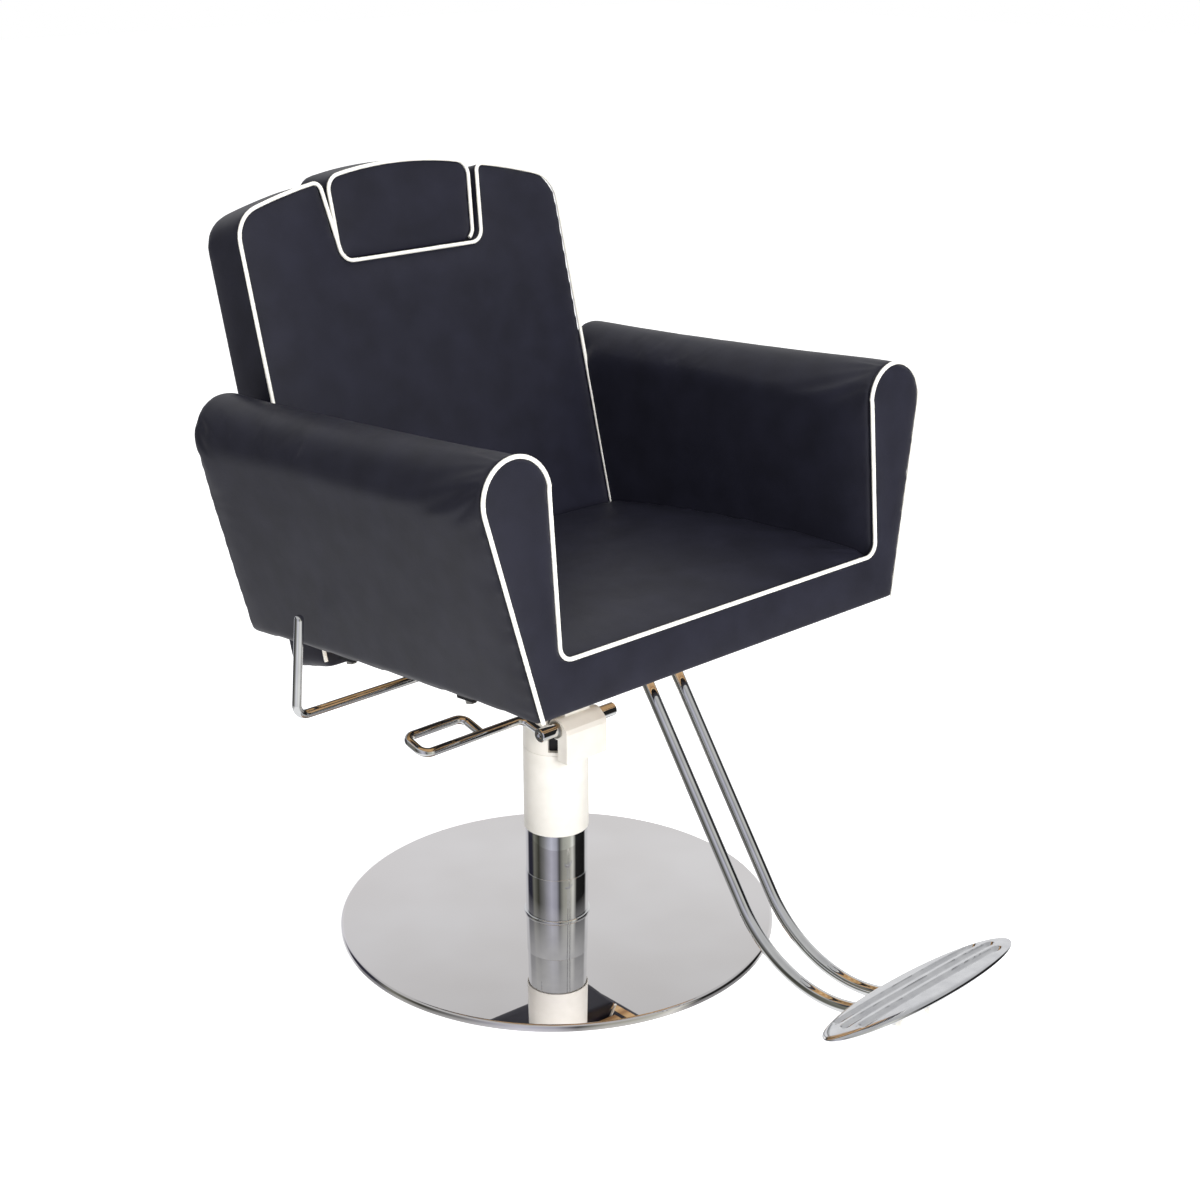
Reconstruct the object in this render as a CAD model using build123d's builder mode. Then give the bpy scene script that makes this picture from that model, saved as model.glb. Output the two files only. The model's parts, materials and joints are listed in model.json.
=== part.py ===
from build123d import *
import os
from math import asin, atan, atan2, cos, degrees, hypot, radians, sin, tan

# Styling chair on a hydraulic pedestal. Millimetres, +Z up, origin on the floor under the column.
# The sitter faces -Y, so +X is the sitter's left.

os.makedirs("parts", exist_ok=True)

# ---- driving dimensions -------------------------------------------------------------------------
running_gap = 0.05          # radial clearance of a shaft that turns or slides in its hole
seal_gap = 0.3              # space between parts that pass each other without touching

# base
base_radius = 300.0
base_height = 10.0
pad_thick = 2.0
pad_inset = 12.0
cover_thick = 1.2
cover_edge_radius = 4.2
plate_inset = 10.0

# column
sleeve_radius = 42.6
sleeve_wall = 1.6
sleeve_top = 262.0
lower_sleeve_top = 75.0
lower_sleeve_wall = 0.55
foot_ring_radius = 46.0
foot_ring_height = 3.0
cylinder_radius = 36.0
cylinder_bore = 20.0
cylinder_floor = 34.0
cylinder_top = 284.0
gland_height = 6.0
rod_radius = 14.0
rod_bottom = 40.0
rod_top = 420.0
piston_height = 14.0
piston_seal_height = 4.0
thrust_height = 5.4
column_bolt_radius = 4.0
column_bolt_circle = 27.0
column_bolt_head = 6.5
column_bolt_head_depth = 4.0
column_bolt_reach = 16.0

# pump head and column cover
cover_radius = 44.6
cover_bore = 43.0
cover_bottom = 142.0
head_bottom = 263.0
head_bore = 37.5
head_ceiling = 326.0
head_top = 336.0
window_sill = 268.0
window_half_angle = 55.0

# seat hub
hub_radius = 30.0
hub_bush_wall = 3.0
hub_bush_length = 62.0

# pump pedal
pedal_y = -42.0
pedal_z = 307.0
pedal_shaft_radius = 9.5
pedal_shaft_half = 66.0
pedal_block_half = 36.0
pedal_block_front = -64.0
pedal_block_wall = 5.0
pedal_plate_thick = 19.0
block_tongue_rear = -20.0
block_tongue_wide = 44.0
block_tongue_long = 24.0
block_tongue_thick = 10.0
pedal_key_radius = 5.0
pedal_key_depth = 12.0
pedal_rod_radius = 6.0
pedal_crank_x = -57.0
pedal_bar_y = 0.0
pedal_bar_z = 315.0
pedal_loop_outer = -223.0
pedal_loop_inner = -128.0
pedal_loop_rear_y = 40.0
pedal_loop_rear_z = 325.0
pedal_bend = 13.0
circlip_radius = 12.0
circlip_thick = 1.8

# seat shell, in axes tilted back: across, depth (towards the back) and height (square to the seat)
seat_tilt = 5.0
shell_bottom = 454.0
shell_front = -360.0
arm_inner = 267.0
arm_foot = 302.0
arm_round = 48.0
arm_round_height = 713.0
arm_rear_foot = 225.0
arm_rear_top = 212.0
arm_core_inner = 277.0
arm_core_thick = 17.0
arm_core_height = 236.0
arm_core_margin = 22.0
apron_depth = 25.0
apron_height = 62.0
apron_core_thick = 12.0
apron_core_end = 10.0
apron_core_edge = 6.0
board_thick = 12.0
cushion_front_height = 70.0
cushion_front_roll = 12.0
cushion_rear_height = 77.0
cushion_crown_height = 86.0
seat_front_pipe = 518.6
seat_corner_radius = 15.0
pipe_radius = 3.2

# steel under the seat
rail_inner = 96.0
rail_width = 20.0
rail_height = 12.0
rail_front = -232.0
rail_rear = 72.0
front_bar_depth = -215.0
middle_bar_depth = -98.0
rear_bar_depth = 22.0
bar_width = 30.0
outrigger_half = 294.0
outrigger_thick = 5.0
plate_thick = 6.0
plate_half_width = 90.0
plate_corner = 8.0
frame_bolt_radius = 4.0
frame_bolt_head = 7.0
frame_bolt_head_height = 5.0
plate_bolt_x = 65.0
board_bolt_x = 200.0
arm_bolt_x = 285.5
arm_bolt_length = 34.0

# recline hinge and lock
pivot_y = 135.0
pivot_z = 430.0
pivot_radius = 8.0
pivot_boss = 13.0
lever_y = 101.0
lever_z = 371.0
lever_radius = 6.0
lever_handle_x = -345.0
lever_handle_top_y = 82.0
lever_handle_top_z = 513.0
lever_bend = 18.0
lever_inner_x = 131.0
cheek_thick = 6.0
recline_range = 30.0
recline_plate_thick = 6.0
recline_plate_gap = 1.0
recline_slot_width = 12.6
recline_slot_slack = 0.5
tail_clearance = 0.7
tail_cut = 40.0
cheek_front_depth = -30.0
cheek_top_gap = 1.0
collar_gap = 1.0
pivot_nut_thick = 7.0
pivot_nut_radius = 12.5
spring_wire = 1.2
spring_turns = 6
spring_pitch = 2.28
lock_disc_radius = 16.0
lock_disc_thick = 5.0
collar_radius = 11.0
collar_thick = 6.0

# backrest, in its own plane: across, and up along the front face from the seat
back_foot_y = 178.0
back_foot_z = 521.0
back_lean = 15.11
back_half = 266.0
back_top = 501.0
back_top_radius = 850.0
back_bottom = -125.3
back_corner = 45.0
back_foot_corner = 12.0
back_pad_thick = 50.0
back_board_thick = 16.0
back_rear_thick = 20.0
back_board_inset = 14.0
notch_bottom = 385.3
notch_half_bottom = 115.0
notch_half_top = 129.0
notch_measured_at = 486.0
notch_corner = 18.0
notch_lip = 12.0
seat_back_gap = 8.0
flange_top = -86.0
flange_bottom = -120.0
flange_reach = 45.0
flange_thick = 5.0
tail_bolt_radius = 4.0
tail_bolt_length = 64.0
tail_bolt_head = 6.5
tail_bolt_head_thick = 3.5
tail_bolt_offset = 8.0

# headrest
headrest_gap = 4.0
headrest_half_bottom = 111.0
headrest_half_top = 118.0
headrest_top = 506.0
headrest_top_radius = 590.0
headrest_corner = 18.0
headrest_proud = 0.0
headrest_depth = 80.0
headrest_board_inset = 12.0
stem_radius = 5.0
stem_x = 45.0
stem_bottom = 240.0
stem_top = 462.0
guide_radius = 8.0
guide_length = 160.0

# footrest
foot_tube_x = 25.5
foot_tube_radius = 8.0
foot_line_y = -182.4
foot_line_z = 450.0
foot_line_slope = 0.7
foot_bend = 165.0
foot_end_y = -628.0
foot_end_z = 131.0
foot_rise = 14.0
foot_bracket_half = 52.0
foot_bracket_thick = 12.0
foot_bracket_depth = 60.0
foot_bracket_corner = 6.0
foot_bracket_bolt_x = 44.0
foot_plate_y = -630.0
foot_plate_z = 165.0
foot_plate_tilt = 19.0
foot_plate_half = 162.0
foot_plate_depth = 49.0
foot_plate_thick = 13.0
foot_plate_edge = 6.0
foot_groove_width = 7.0
foot_groove_depth = 3.0
foot_groove_pitch = 19.0
foot_cap_radius = 14.0
foot_cap_length = 12.0
foot_lug_radius = 8.5
foot_lug_y = -606.0

# ---- planes and places worked out from the dimensions --------------------------------------------
tilt = radians(seat_tilt)
lean = radians(back_lean)
depth_dir = Vector(0, cos(tilt), -sin(tilt))
height_dir = Vector(0, sin(tilt), cos(tilt))
shell_plane = Plane(origin=(0, 0, 0), x_dir=(1, 0, 0), z_dir=height_dir)
back_plane = Plane(
    origin=(0, back_foot_y, back_foot_z), x_dir=(1, 0, 0), z_dir=(0, -cos(lean), sin(lean))
)


def cross_plane(depth):
    """A plane square to the seat's depth, whose axes are across and height, facing forwards."""
    return Plane(origin=depth_dir * depth, x_dir=(1, 0, 0), z_dir=-depth_dir)


def seat_side_plane(x):
    """A plane parallel to the arms at x, whose axes are the seat's depth and height."""
    return Plane(origin=(x, 0, 0), x_dir=depth_dir, z_dir=(1, 0, 0))


def side_plane(x):
    """An upright plane at x, whose axes are Y and Z."""
    return Plane(origin=(x, 0, 0), x_dir=(0, 1, 0), z_dir=(1, 0, 0))


def in_seat_axes(y, z):
    """The seat's depth and height of a place given by Y and Z."""
    return (y * cos(tilt) - z * sin(tilt), y * sin(tilt) + z * cos(tilt))


def back_face_depth(height):
    """The depth at which the backrest's front face stands, at a height square to the seat."""
    foot_depth, foot_height = in_seat_axes(back_foot_y, back_foot_z)
    return foot_depth + tan(lean - tilt) * (height - foot_height)


back_thick = back_pad_thick + back_board_thick + back_rear_thick
hub_bush_radius = rod_radius + hub_bush_wall
board_top = shell_bottom + board_thick
rail_bottom = shell_bottom - rail_height
mount_plate_bottom = rail_bottom - plate_thick
rail_outer = rail_inner + rail_width
cheek_outer = rail_outer + cheek_thick
recline_outer = rail_outer - recline_plate_gap
recline_inner = recline_outer - recline_plate_thick
board_rear = back_face_depth(shell_bottom) - seat_back_gap
pivot_depth, pivot_height = in_seat_axes(pivot_y, pivot_z)
lever_depth, lever_height = in_seat_axes(lever_y, lever_z)
slot_radius = hypot(lever_y - pivot_y, lever_z - pivot_z)
slot_start = degrees(atan2(lever_z - pivot_z, lever_y - pivot_y))
apron_top = shell_bottom + apron_height
foot_socket_height = rail_bottom - foot_bracket_thick

# the foot of the backrest's front face, seen from the pivot: along its lean and square to it
tail_y = back_foot_y + back_bottom * sin(lean) - pivot_y
tail_z = back_foot_z + back_bottom * cos(lean) - pivot_z
tail_along = tail_y * sin(lean) + tail_z * cos(lean) - tail_clearance
tail_behind = tail_y * cos(lean) - tail_z * sin(lean) - tail_clearance
full_lean = radians(back_lean + recline_range)


def past_tail(along, behind):
    """A place in Y and Z, given along the fully reclined backrest from the pivot and behind it."""
    return (
        pivot_y + along * sin(full_lean) + behind * cos(full_lean),
        pivot_z + along * cos(full_lean) - behind * sin(full_lean),
    )


def round_bar(path, radius):
    """Sweeps a round section along the path of the current part."""
    with BuildSketch(Plane(origin=path @ 0, z_dir=path % 0)) as section:
        Circle(radius)
    sweep(section.sketch, path=path)


# ---- base ----------------------------------------------------------------------------------------
plate_bottom = pad_thick
plate_top = base_height - cover_thick

with BuildPart() as floor_pad:
    with BuildSketch(Plane.XY):
        Circle(base_radius - pad_inset)
    extrude(amount=pad_thick)
floor_pad.part.label = "floor_pad"
export_step(floor_pad.part, "parts/floor_pad.step")

with BuildPart() as base_plate:
    with BuildSketch(Plane.XY.offset(plate_bottom)):
        Circle(base_radius - plate_inset)
    extrude(amount=plate_top - plate_bottom)
    with BuildSketch(Plane.XY.offset(plate_bottom)):
        with PolarLocations(column_bolt_circle, 4, start_angle=45):
            Circle(column_bolt_head + seal_gap)
    extrude(amount=column_bolt_head_depth, mode=Mode.SUBTRACT)
    with BuildSketch(Plane.XY.offset(plate_bottom)):
        with PolarLocations(column_bolt_circle, 4, start_angle=45):
            Circle(column_bolt_radius + running_gap)
    extrude(amount=plate_top - plate_bottom, mode=Mode.SUBTRACT)
base_plate.part.label = "base_plate"
export_step(base_plate.part, "parts/base_plate.step")

with BuildPart() as base_cover:
    with BuildSketch(Plane.XZ):
        with BuildLine():
            outer = FilletPolyline(
                (cylinder_radius + seal_gap, base_height),
                (base_radius, base_height),
                (base_radius, 1),
                radius=cover_edge_radius,
            )
            inner = FilletPolyline(
                (base_radius - cover_thick, 1),
                (base_radius - cover_thick, plate_top),
                (cylinder_radius + seal_gap, plate_top),
                radius=cover_edge_radius - cover_thick,
            )
            Line(outer @ 1, inner @ 0)
            Line(inner @ 1, outer @ 0)
        make_face()
    revolve(axis=Axis.Z)
base_cover.part.label = "base_cover"
export_step(base_cover.part, "parts/base_cover.step")

with BuildPart() as column_bolts:
    with BuildSketch(Plane.XY.offset(plate_bottom)):
        with PolarLocations(column_bolt_circle, 4, start_angle=45):
            Circle(column_bolt_head)
    extrude(amount=column_bolt_head_depth)
    with BuildSketch(Plane.XY.offset(plate_bottom + column_bolt_head_depth)):
        with PolarLocations(column_bolt_circle, 4, start_angle=45):
            Circle(column_bolt_radius)
    extrude(amount=plate_top + column_bolt_reach - plate_bottom - column_bolt_head_depth)
column_bolts.part.label = "column_bolts"
export_step(column_bolts.part, "parts/column_bolts.step")


# ---- column --------------------------------------------------------------------------------------
def tube(bottom, top, outside, inside):
    """Adds an upright tube on the column's axis to the current part."""
    with BuildSketch(Plane.XY.offset(bottom)) as ring:
        Circle(outside)
        Circle(inside, mode=Mode.SUBTRACT)
    extrude(ring.sketch, amount=top - bottom)


with BuildPart() as pump_cylinder:
    with BuildSketch(Plane.XY.offset(plate_top)):
        Circle(cylinder_radius)
    extrude(amount=cylinder_top - plate_top)
    with BuildSketch(Plane.XY.offset(cylinder_floor)):
        Circle(cylinder_bore)
    extrude(amount=cylinder_top - cylinder_floor, mode=Mode.SUBTRACT)
    with BuildSketch(Plane.XY.offset(plate_top)):
        with PolarLocations(column_bolt_circle, 4, start_angle=45):
            Circle(column_bolt_radius + running_gap)
    extrude(amount=column_bolt_reach + 1, mode=Mode.SUBTRACT)
pump_cylinder.part.label = "pump_cylinder"
export_step(pump_cylinder.part, "parts/pump_cylinder.step")

with BuildPart() as cylinder_gland:
    tube(cylinder_top, cylinder_top + gland_height, cylinder_radius, rod_radius + running_gap)
    chamfer(cylinder_gland.edges().group_by(Axis.Z)[-1].sort_by(SortBy.RADIUS)[-1], length=1.5)
cylinder_gland.part.label = "cylinder_gland"
export_step(cylinder_gland.part, "parts/cylinder_gland.step")

with BuildPart() as column_sleeve:
    tube(base_height, sleeve_top, sleeve_radius, sleeve_radius - sleeve_wall)
    chamfer(column_sleeve.edges().group_by(Axis.Z)[-1].sort_by(SortBy.RADIUS)[-1], length=0.5)
column_sleeve.part.label = "column_sleeve"
export_step(column_sleeve.part, "parts/column_sleeve.step")

with BuildPart() as sleeve_spacers:
    for spacer_bottom in (base_height + 10, sleeve_top - 16):
        tube(
            spacer_bottom,
            spacer_bottom + 10,
            sleeve_radius - sleeve_wall - running_gap,
            cylinder_radius + running_gap,
        )
sleeve_spacers.part.label = "sleeve_spacers"
export_step(sleeve_spacers.part, "parts/sleeve_spacers.step")

lower_sleeve_radius = sleeve_radius + running_gap + lower_sleeve_wall
with BuildPart() as lower_sleeve:
    tube(
        base_height + foot_ring_height,
        lower_sleeve_top,
        lower_sleeve_radius,
        sleeve_radius + running_gap,
    )
lower_sleeve.part.label = "lower_sleeve"
export_step(lower_sleeve.part, "parts/lower_sleeve.step")

with BuildPart() as foot_ring:
    tube(
        base_height,
        base_height + foot_ring_height,
        foot_ring_radius,
        sleeve_radius + running_gap,
    )
    fillet(foot_ring.edges().group_by(Axis.Z)[-1].sort_by(SortBy.RADIUS)[-1], radius=1.5)
foot_ring.part.label = "foot_ring"
export_step(foot_ring.part, "parts/foot_ring.step")

with BuildPart() as lift_rod:
    with BuildSketch(Plane.XY.offset(rod_bottom)):
        Circle(rod_radius)
    extrude(amount=rod_top - rod_bottom)
lift_rod.part.label = "lift_rod"
export_step(lift_rod.part, "parts/lift_rod.step")

with BuildPart() as piston:
    tube(rod_bottom, rod_bottom + piston_height, cylinder_bore - running_gap, rod_radius)
piston.part.label = "piston"
export_step(piston.part, "parts/piston.step")

piston_top = rod_bottom + piston_height
with BuildPart() as piston_seal:
    tube(piston_top, piston_top + piston_seal_height, cylinder_bore - running_gap, rod_radius)
piston_seal.part.label = "piston_seal"
export_step(piston_seal.part, "parts/piston_seal.step")

with BuildPart() as thrust_washer:
    with BuildSketch(Plane.XY.offset(rod_top)):
        Circle(rod_radius)
    extrude(amount=thrust_height)
thrust_washer.part.label = "thrust_washer"
export_step(thrust_washer.part, "parts/thrust_washer.step")

# ---- pump head, column cover and seat hub ---------------------------------------------------------
with BuildPart() as column_cover:
    tube(cover_bottom, head_bottom, cover_radius, cover_bore)
    fillet(column_cover.edges().group_by(Axis.Z)[0].sort_by(SortBy.RADIUS)[-1], radius=0.8)
column_cover.part.label = "column_cover"
export_step(column_cover.part, "parts/column_cover.step")

window_reach = 2 * cover_radius
window_x = window_reach * tan(radians(window_half_angle))
with BuildPart() as pump_head:
    tube(head_bottom, head_ceiling, cover_radius, head_bore)
    tube(head_ceiling, head_top, cover_radius, rod_radius + 1)
    with BuildSketch(Plane.XY.offset(window_sill)):
        with BuildLine():
            Polyline((0, 0), (-window_x, -window_reach), (window_x, -window_reach), close=True)
        make_face()
    extrude(amount=head_ceiling - window_sill, mode=Mode.SUBTRACT)
pump_head.part.label = "pump_head"
export_step(pump_head.part, "parts/pump_head.step")

block_radius = pedal_shaft_radius + pedal_block_wall
block_rear = pedal_block_front + pedal_plate_thick
with BuildPart() as pedal_block:
    with BuildSketch(side_plane(-pedal_block_half)):
        with BuildLine():
            Polyline(
                (pedal_block_front, head_bottom - 1),
                (block_rear, head_bottom - 1),
                (block_rear, pedal_z),
                (pedal_y, pedal_z + block_radius),
                (pedal_y - 9, pedal_z + block_radius - 3),
                (pedal_block_front + 3, pedal_z + 3),
                (pedal_block_front, pedal_z - 3),
                close=True,
            )
        make_face()
        with Locations((pedal_y, pedal_z)):
            Circle(block_radius)
    extrude(amount=2 * pedal_block_half)
    # a tongue welded up to the underside of the head's ceiling
    with BuildSketch(Plane.XY.offset(head_ceiling)):
        with Locations((0, (pedal_y + block_tongue_rear) / 2 - 1)):
            Rectangle(block_tongue_wide, block_tongue_long)
    extrude(amount=-block_tongue_thick)
    fillet(
        pedal_block.edges()
        .filter_by(Axis.Z)
        .filter_by_position(Axis.Y, pedal_block_front - 1, pedal_block_front + 1),
        radius=2.5,
    )
    with Locations(side_plane(0)):
        with Locations((pedal_y, pedal_z)):
            Hole(pedal_shaft_radius + running_gap)
pedal_block.part.label = "pedal_block"
export_step(pedal_block.part, "parts/pedal_block.step")

seat_hub_top = Plane(origin=height_dir * mount_plate_bottom, x_dir=(1, 0, 0), z_dir=height_dir)
hub_ceiling = rod_top + thrust_height + seal_gap
with BuildPart() as seat_hub:
    with BuildSketch(Plane.XY.offset(head_top)):
        Circle(hub_radius)
    extrude(amount=mount_plate_bottom - head_top + hub_radius)
    split(bisect_by=seat_hub_top, keep=Keep.BOTTOM)
    with BuildSketch(Plane.XY.offset(head_top)):
        Circle(hub_bush_radius)
    extrude(amount=hub_ceiling - head_top, mode=Mode.SUBTRACT)
seat_hub.part.label = "seat_hub"
export_step(seat_hub.part, "parts/seat_hub.step")

with BuildPart() as swivel_bush:
    tube(head_top, head_top + hub_bush_length, hub_bush_radius, rod_radius + running_gap)
swivel_bush.part.label = "swivel_bush"
export_step(swivel_bush.part, "parts/swivel_bush.step")

# ---- pump pedal -----------------------------------------------------------------------------------
loop_middle = (pedal_loop_outer + pedal_loop_inner) / 2
with BuildPart() as pedal_rod:
    with BuildLine() as crank_line:
        FilletPolyline(
            (pedal_crank_x, pedal_y, pedal_z),
            (pedal_crank_x, pedal_bar_y, pedal_bar_z),
            (pedal_loop_outer, pedal_bar_y, pedal_bar_z),
            (pedal_loop_outer, pedal_loop_rear_y, pedal_loop_rear_z),
            (loop_middle, pedal_loop_rear_y, pedal_loop_rear_z),
            radius=pedal_bend,
        )
    round_bar(crank_line.line, pedal_rod_radius)
    with BuildLine() as return_line:
        FilletPolyline(
            (loop_middle, pedal_loop_rear_y, pedal_loop_rear_z),
            (pedal_loop_inner, pedal_loop_rear_y, pedal_loop_rear_z),
            (pedal_loop_inner, pedal_bar_y, pedal_bar_z),
            radius=pedal_bend,
        )
    round_bar(return_line.line, pedal_rod_radius)
pedal_rod.part.label = "pedal_rod"
export_step(pedal_rod.part, "parts/pedal_rod.step")

with BuildPart() as pedal_shaft:
    with BuildSketch(side_plane(-pedal_shaft_half)):
        with Locations((pedal_y, pedal_z)):
            Circle(pedal_shaft_radius)
    extrude(amount=2 * pedal_shaft_half)
    chamfer(pedal_shaft.edges(), length=1)
    with BuildSketch(side_plane(-pedal_shaft_half)):
        with Locations((pedal_y, pedal_z)):
            RegularPolygon(pedal_key_radius, 6)
    extrude(amount=pedal_key_depth / 2, mode=Mode.SUBTRACT)
    add(pedal_rod.part, mode=Mode.SUBTRACT)
pedal_shaft.part.label = "pedal_shaft"
export_step(pedal_shaft.part, "parts/pedal_shaft.step")

with BuildPart() as pedal_circlips:
    for clip_x in (
        -pedal_block_half - seal_gap - circlip_thick,
        pedal_block_half + seal_gap,
    ):
        with BuildSketch(side_plane(clip_x)):
            with Locations((pedal_y, pedal_z)):
                Circle(circlip_radius)
                Circle(pedal_shaft_radius, mode=Mode.SUBTRACT)
        extrude(amount=circlip_thick)
pedal_circlips.part.label = "pedal_circlips"
export_step(pedal_circlips.part, "parts/pedal_circlips.step")

# ---- seat steelwork -------------------------------------------------------------------------------
bar_depths = (front_bar_depth, middle_bar_depth, rear_bar_depth)
outrigger_depths = (front_bar_depth, rear_bar_depth)
plate_centre_depth = (middle_bar_depth + rear_bar_depth) / 2
plate_half_depth = (rear_bar_depth - middle_bar_depth) / 2 + bar_width / 2
foot_dir_depth, foot_dir_height = in_seat_axes(foot_line_slope, 1)
foot_top_depth, foot_top_height = in_seat_axes(foot_line_y, foot_line_z)


def foot_line_depth(height):
    """The depth of the footrest tubes' straight run at a height square to the seat."""
    return foot_top_depth + (height - foot_top_height) * foot_dir_depth / foot_dir_height


bracket_depth = (foot_line_depth(foot_socket_height) + foot_line_depth(rail_bottom)) / 2
bracket_bolts = [(x, front_bar_depth) for x in (-foot_bracket_bolt_x, foot_bracket_bolt_x)]
plate_bolts = [
    (x, d) for x in (-plate_bolt_x, plate_bolt_x) for d in (middle_bar_depth, rear_bar_depth)
]
outrigger_bolts = [
    (x, d)
    for x in (-arm_bolt_x, -board_bolt_x, board_bolt_x, arm_bolt_x)
    for d in outrigger_depths
]

with BuildPart() as seat_frame:
    with BuildSketch(shell_plane.offset(rail_bottom)):
        for side in (-1, 1):
            with Locations((side * (rail_inner + rail_outer) / 2, (rail_front + rail_rear) / 2)):
                Rectangle(rail_width, rail_rear - rail_front)
        for bar_depth in bar_depths:
            with Locations((0, bar_depth)):
                Rectangle(2 * rail_inner + 1, bar_width)
    extrude(amount=rail_height)
    with BuildSketch(shell_plane.offset(shell_bottom - outrigger_thick)):
        for outrigger_depth in outrigger_depths:
            with Locations((0, outrigger_depth)):
                Rectangle(2 * outrigger_half, bar_width)
    extrude(amount=outrigger_thick)
    with BuildSketch(shell_plane.offset(rail_bottom)):
        with Locations(*plate_bolts, *bracket_bolts, *outrigger_bolts):
            Circle(frame_bolt_radius)
    extrude(amount=rail_height, mode=Mode.SUBTRACT)
seat_frame.part.label = "seat_frame"
export_step(seat_frame.part, "parts/seat_frame.step")

with BuildPart() as mount_plate:
    with BuildSketch(shell_plane.offset(mount_plate_bottom)):
        with Locations((0, plate_centre_depth)):
            RectangleRounded(2 * plate_half_width, 2 * plate_half_depth, plate_corner)
        with Locations(*plate_bolts):
            Circle(frame_bolt_radius, mode=Mode.SUBTRACT)
    extrude(amount=plate_thick)
mount_plate.part.label = "mount_plate"
export_step(mount_plate.part, "parts/mount_plate.step")


def upright_bolts(places, head_top_height, length):
    """Adds hexagon-headed bolts standing square to the seat, with their heads below."""
    with BuildSketch(shell_plane.offset(head_top_height - frame_bolt_head_height)) as heads:
        with Locations(*places):
            RegularPolygon(frame_bolt_head, 6)
    extrude(heads.sketch, amount=frame_bolt_head_height)
    with BuildSketch(shell_plane.offset(head_top_height)) as shanks:
        with Locations(*places):
            Circle(frame_bolt_radius)
    extrude(shanks.sketch, amount=length)


board_bolt_length = outrigger_thick + board_thick - 2
arm_bolts_at = [p for p in outrigger_bolts if abs(p[0]) == arm_bolt_x]
board_bolts_at = [p for p in outrigger_bolts if abs(p[0]) == board_bolt_x]
with BuildPart() as frame_bolts:
    upright_bolts(plate_bolts, mount_plate_bottom, plate_thick + rail_height)
    upright_bolts(bracket_bolts, foot_socket_height, foot_bracket_thick + rail_height)
    upright_bolts(arm_bolts_at, shell_bottom - outrigger_thick, arm_bolt_length)
    upright_bolts(board_bolts_at, shell_bottom - outrigger_thick, board_bolt_length)
frame_bolts.part.label = "frame_bolts"
export_step(frame_bolts.part, "parts/frame_bolts.step")

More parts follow.
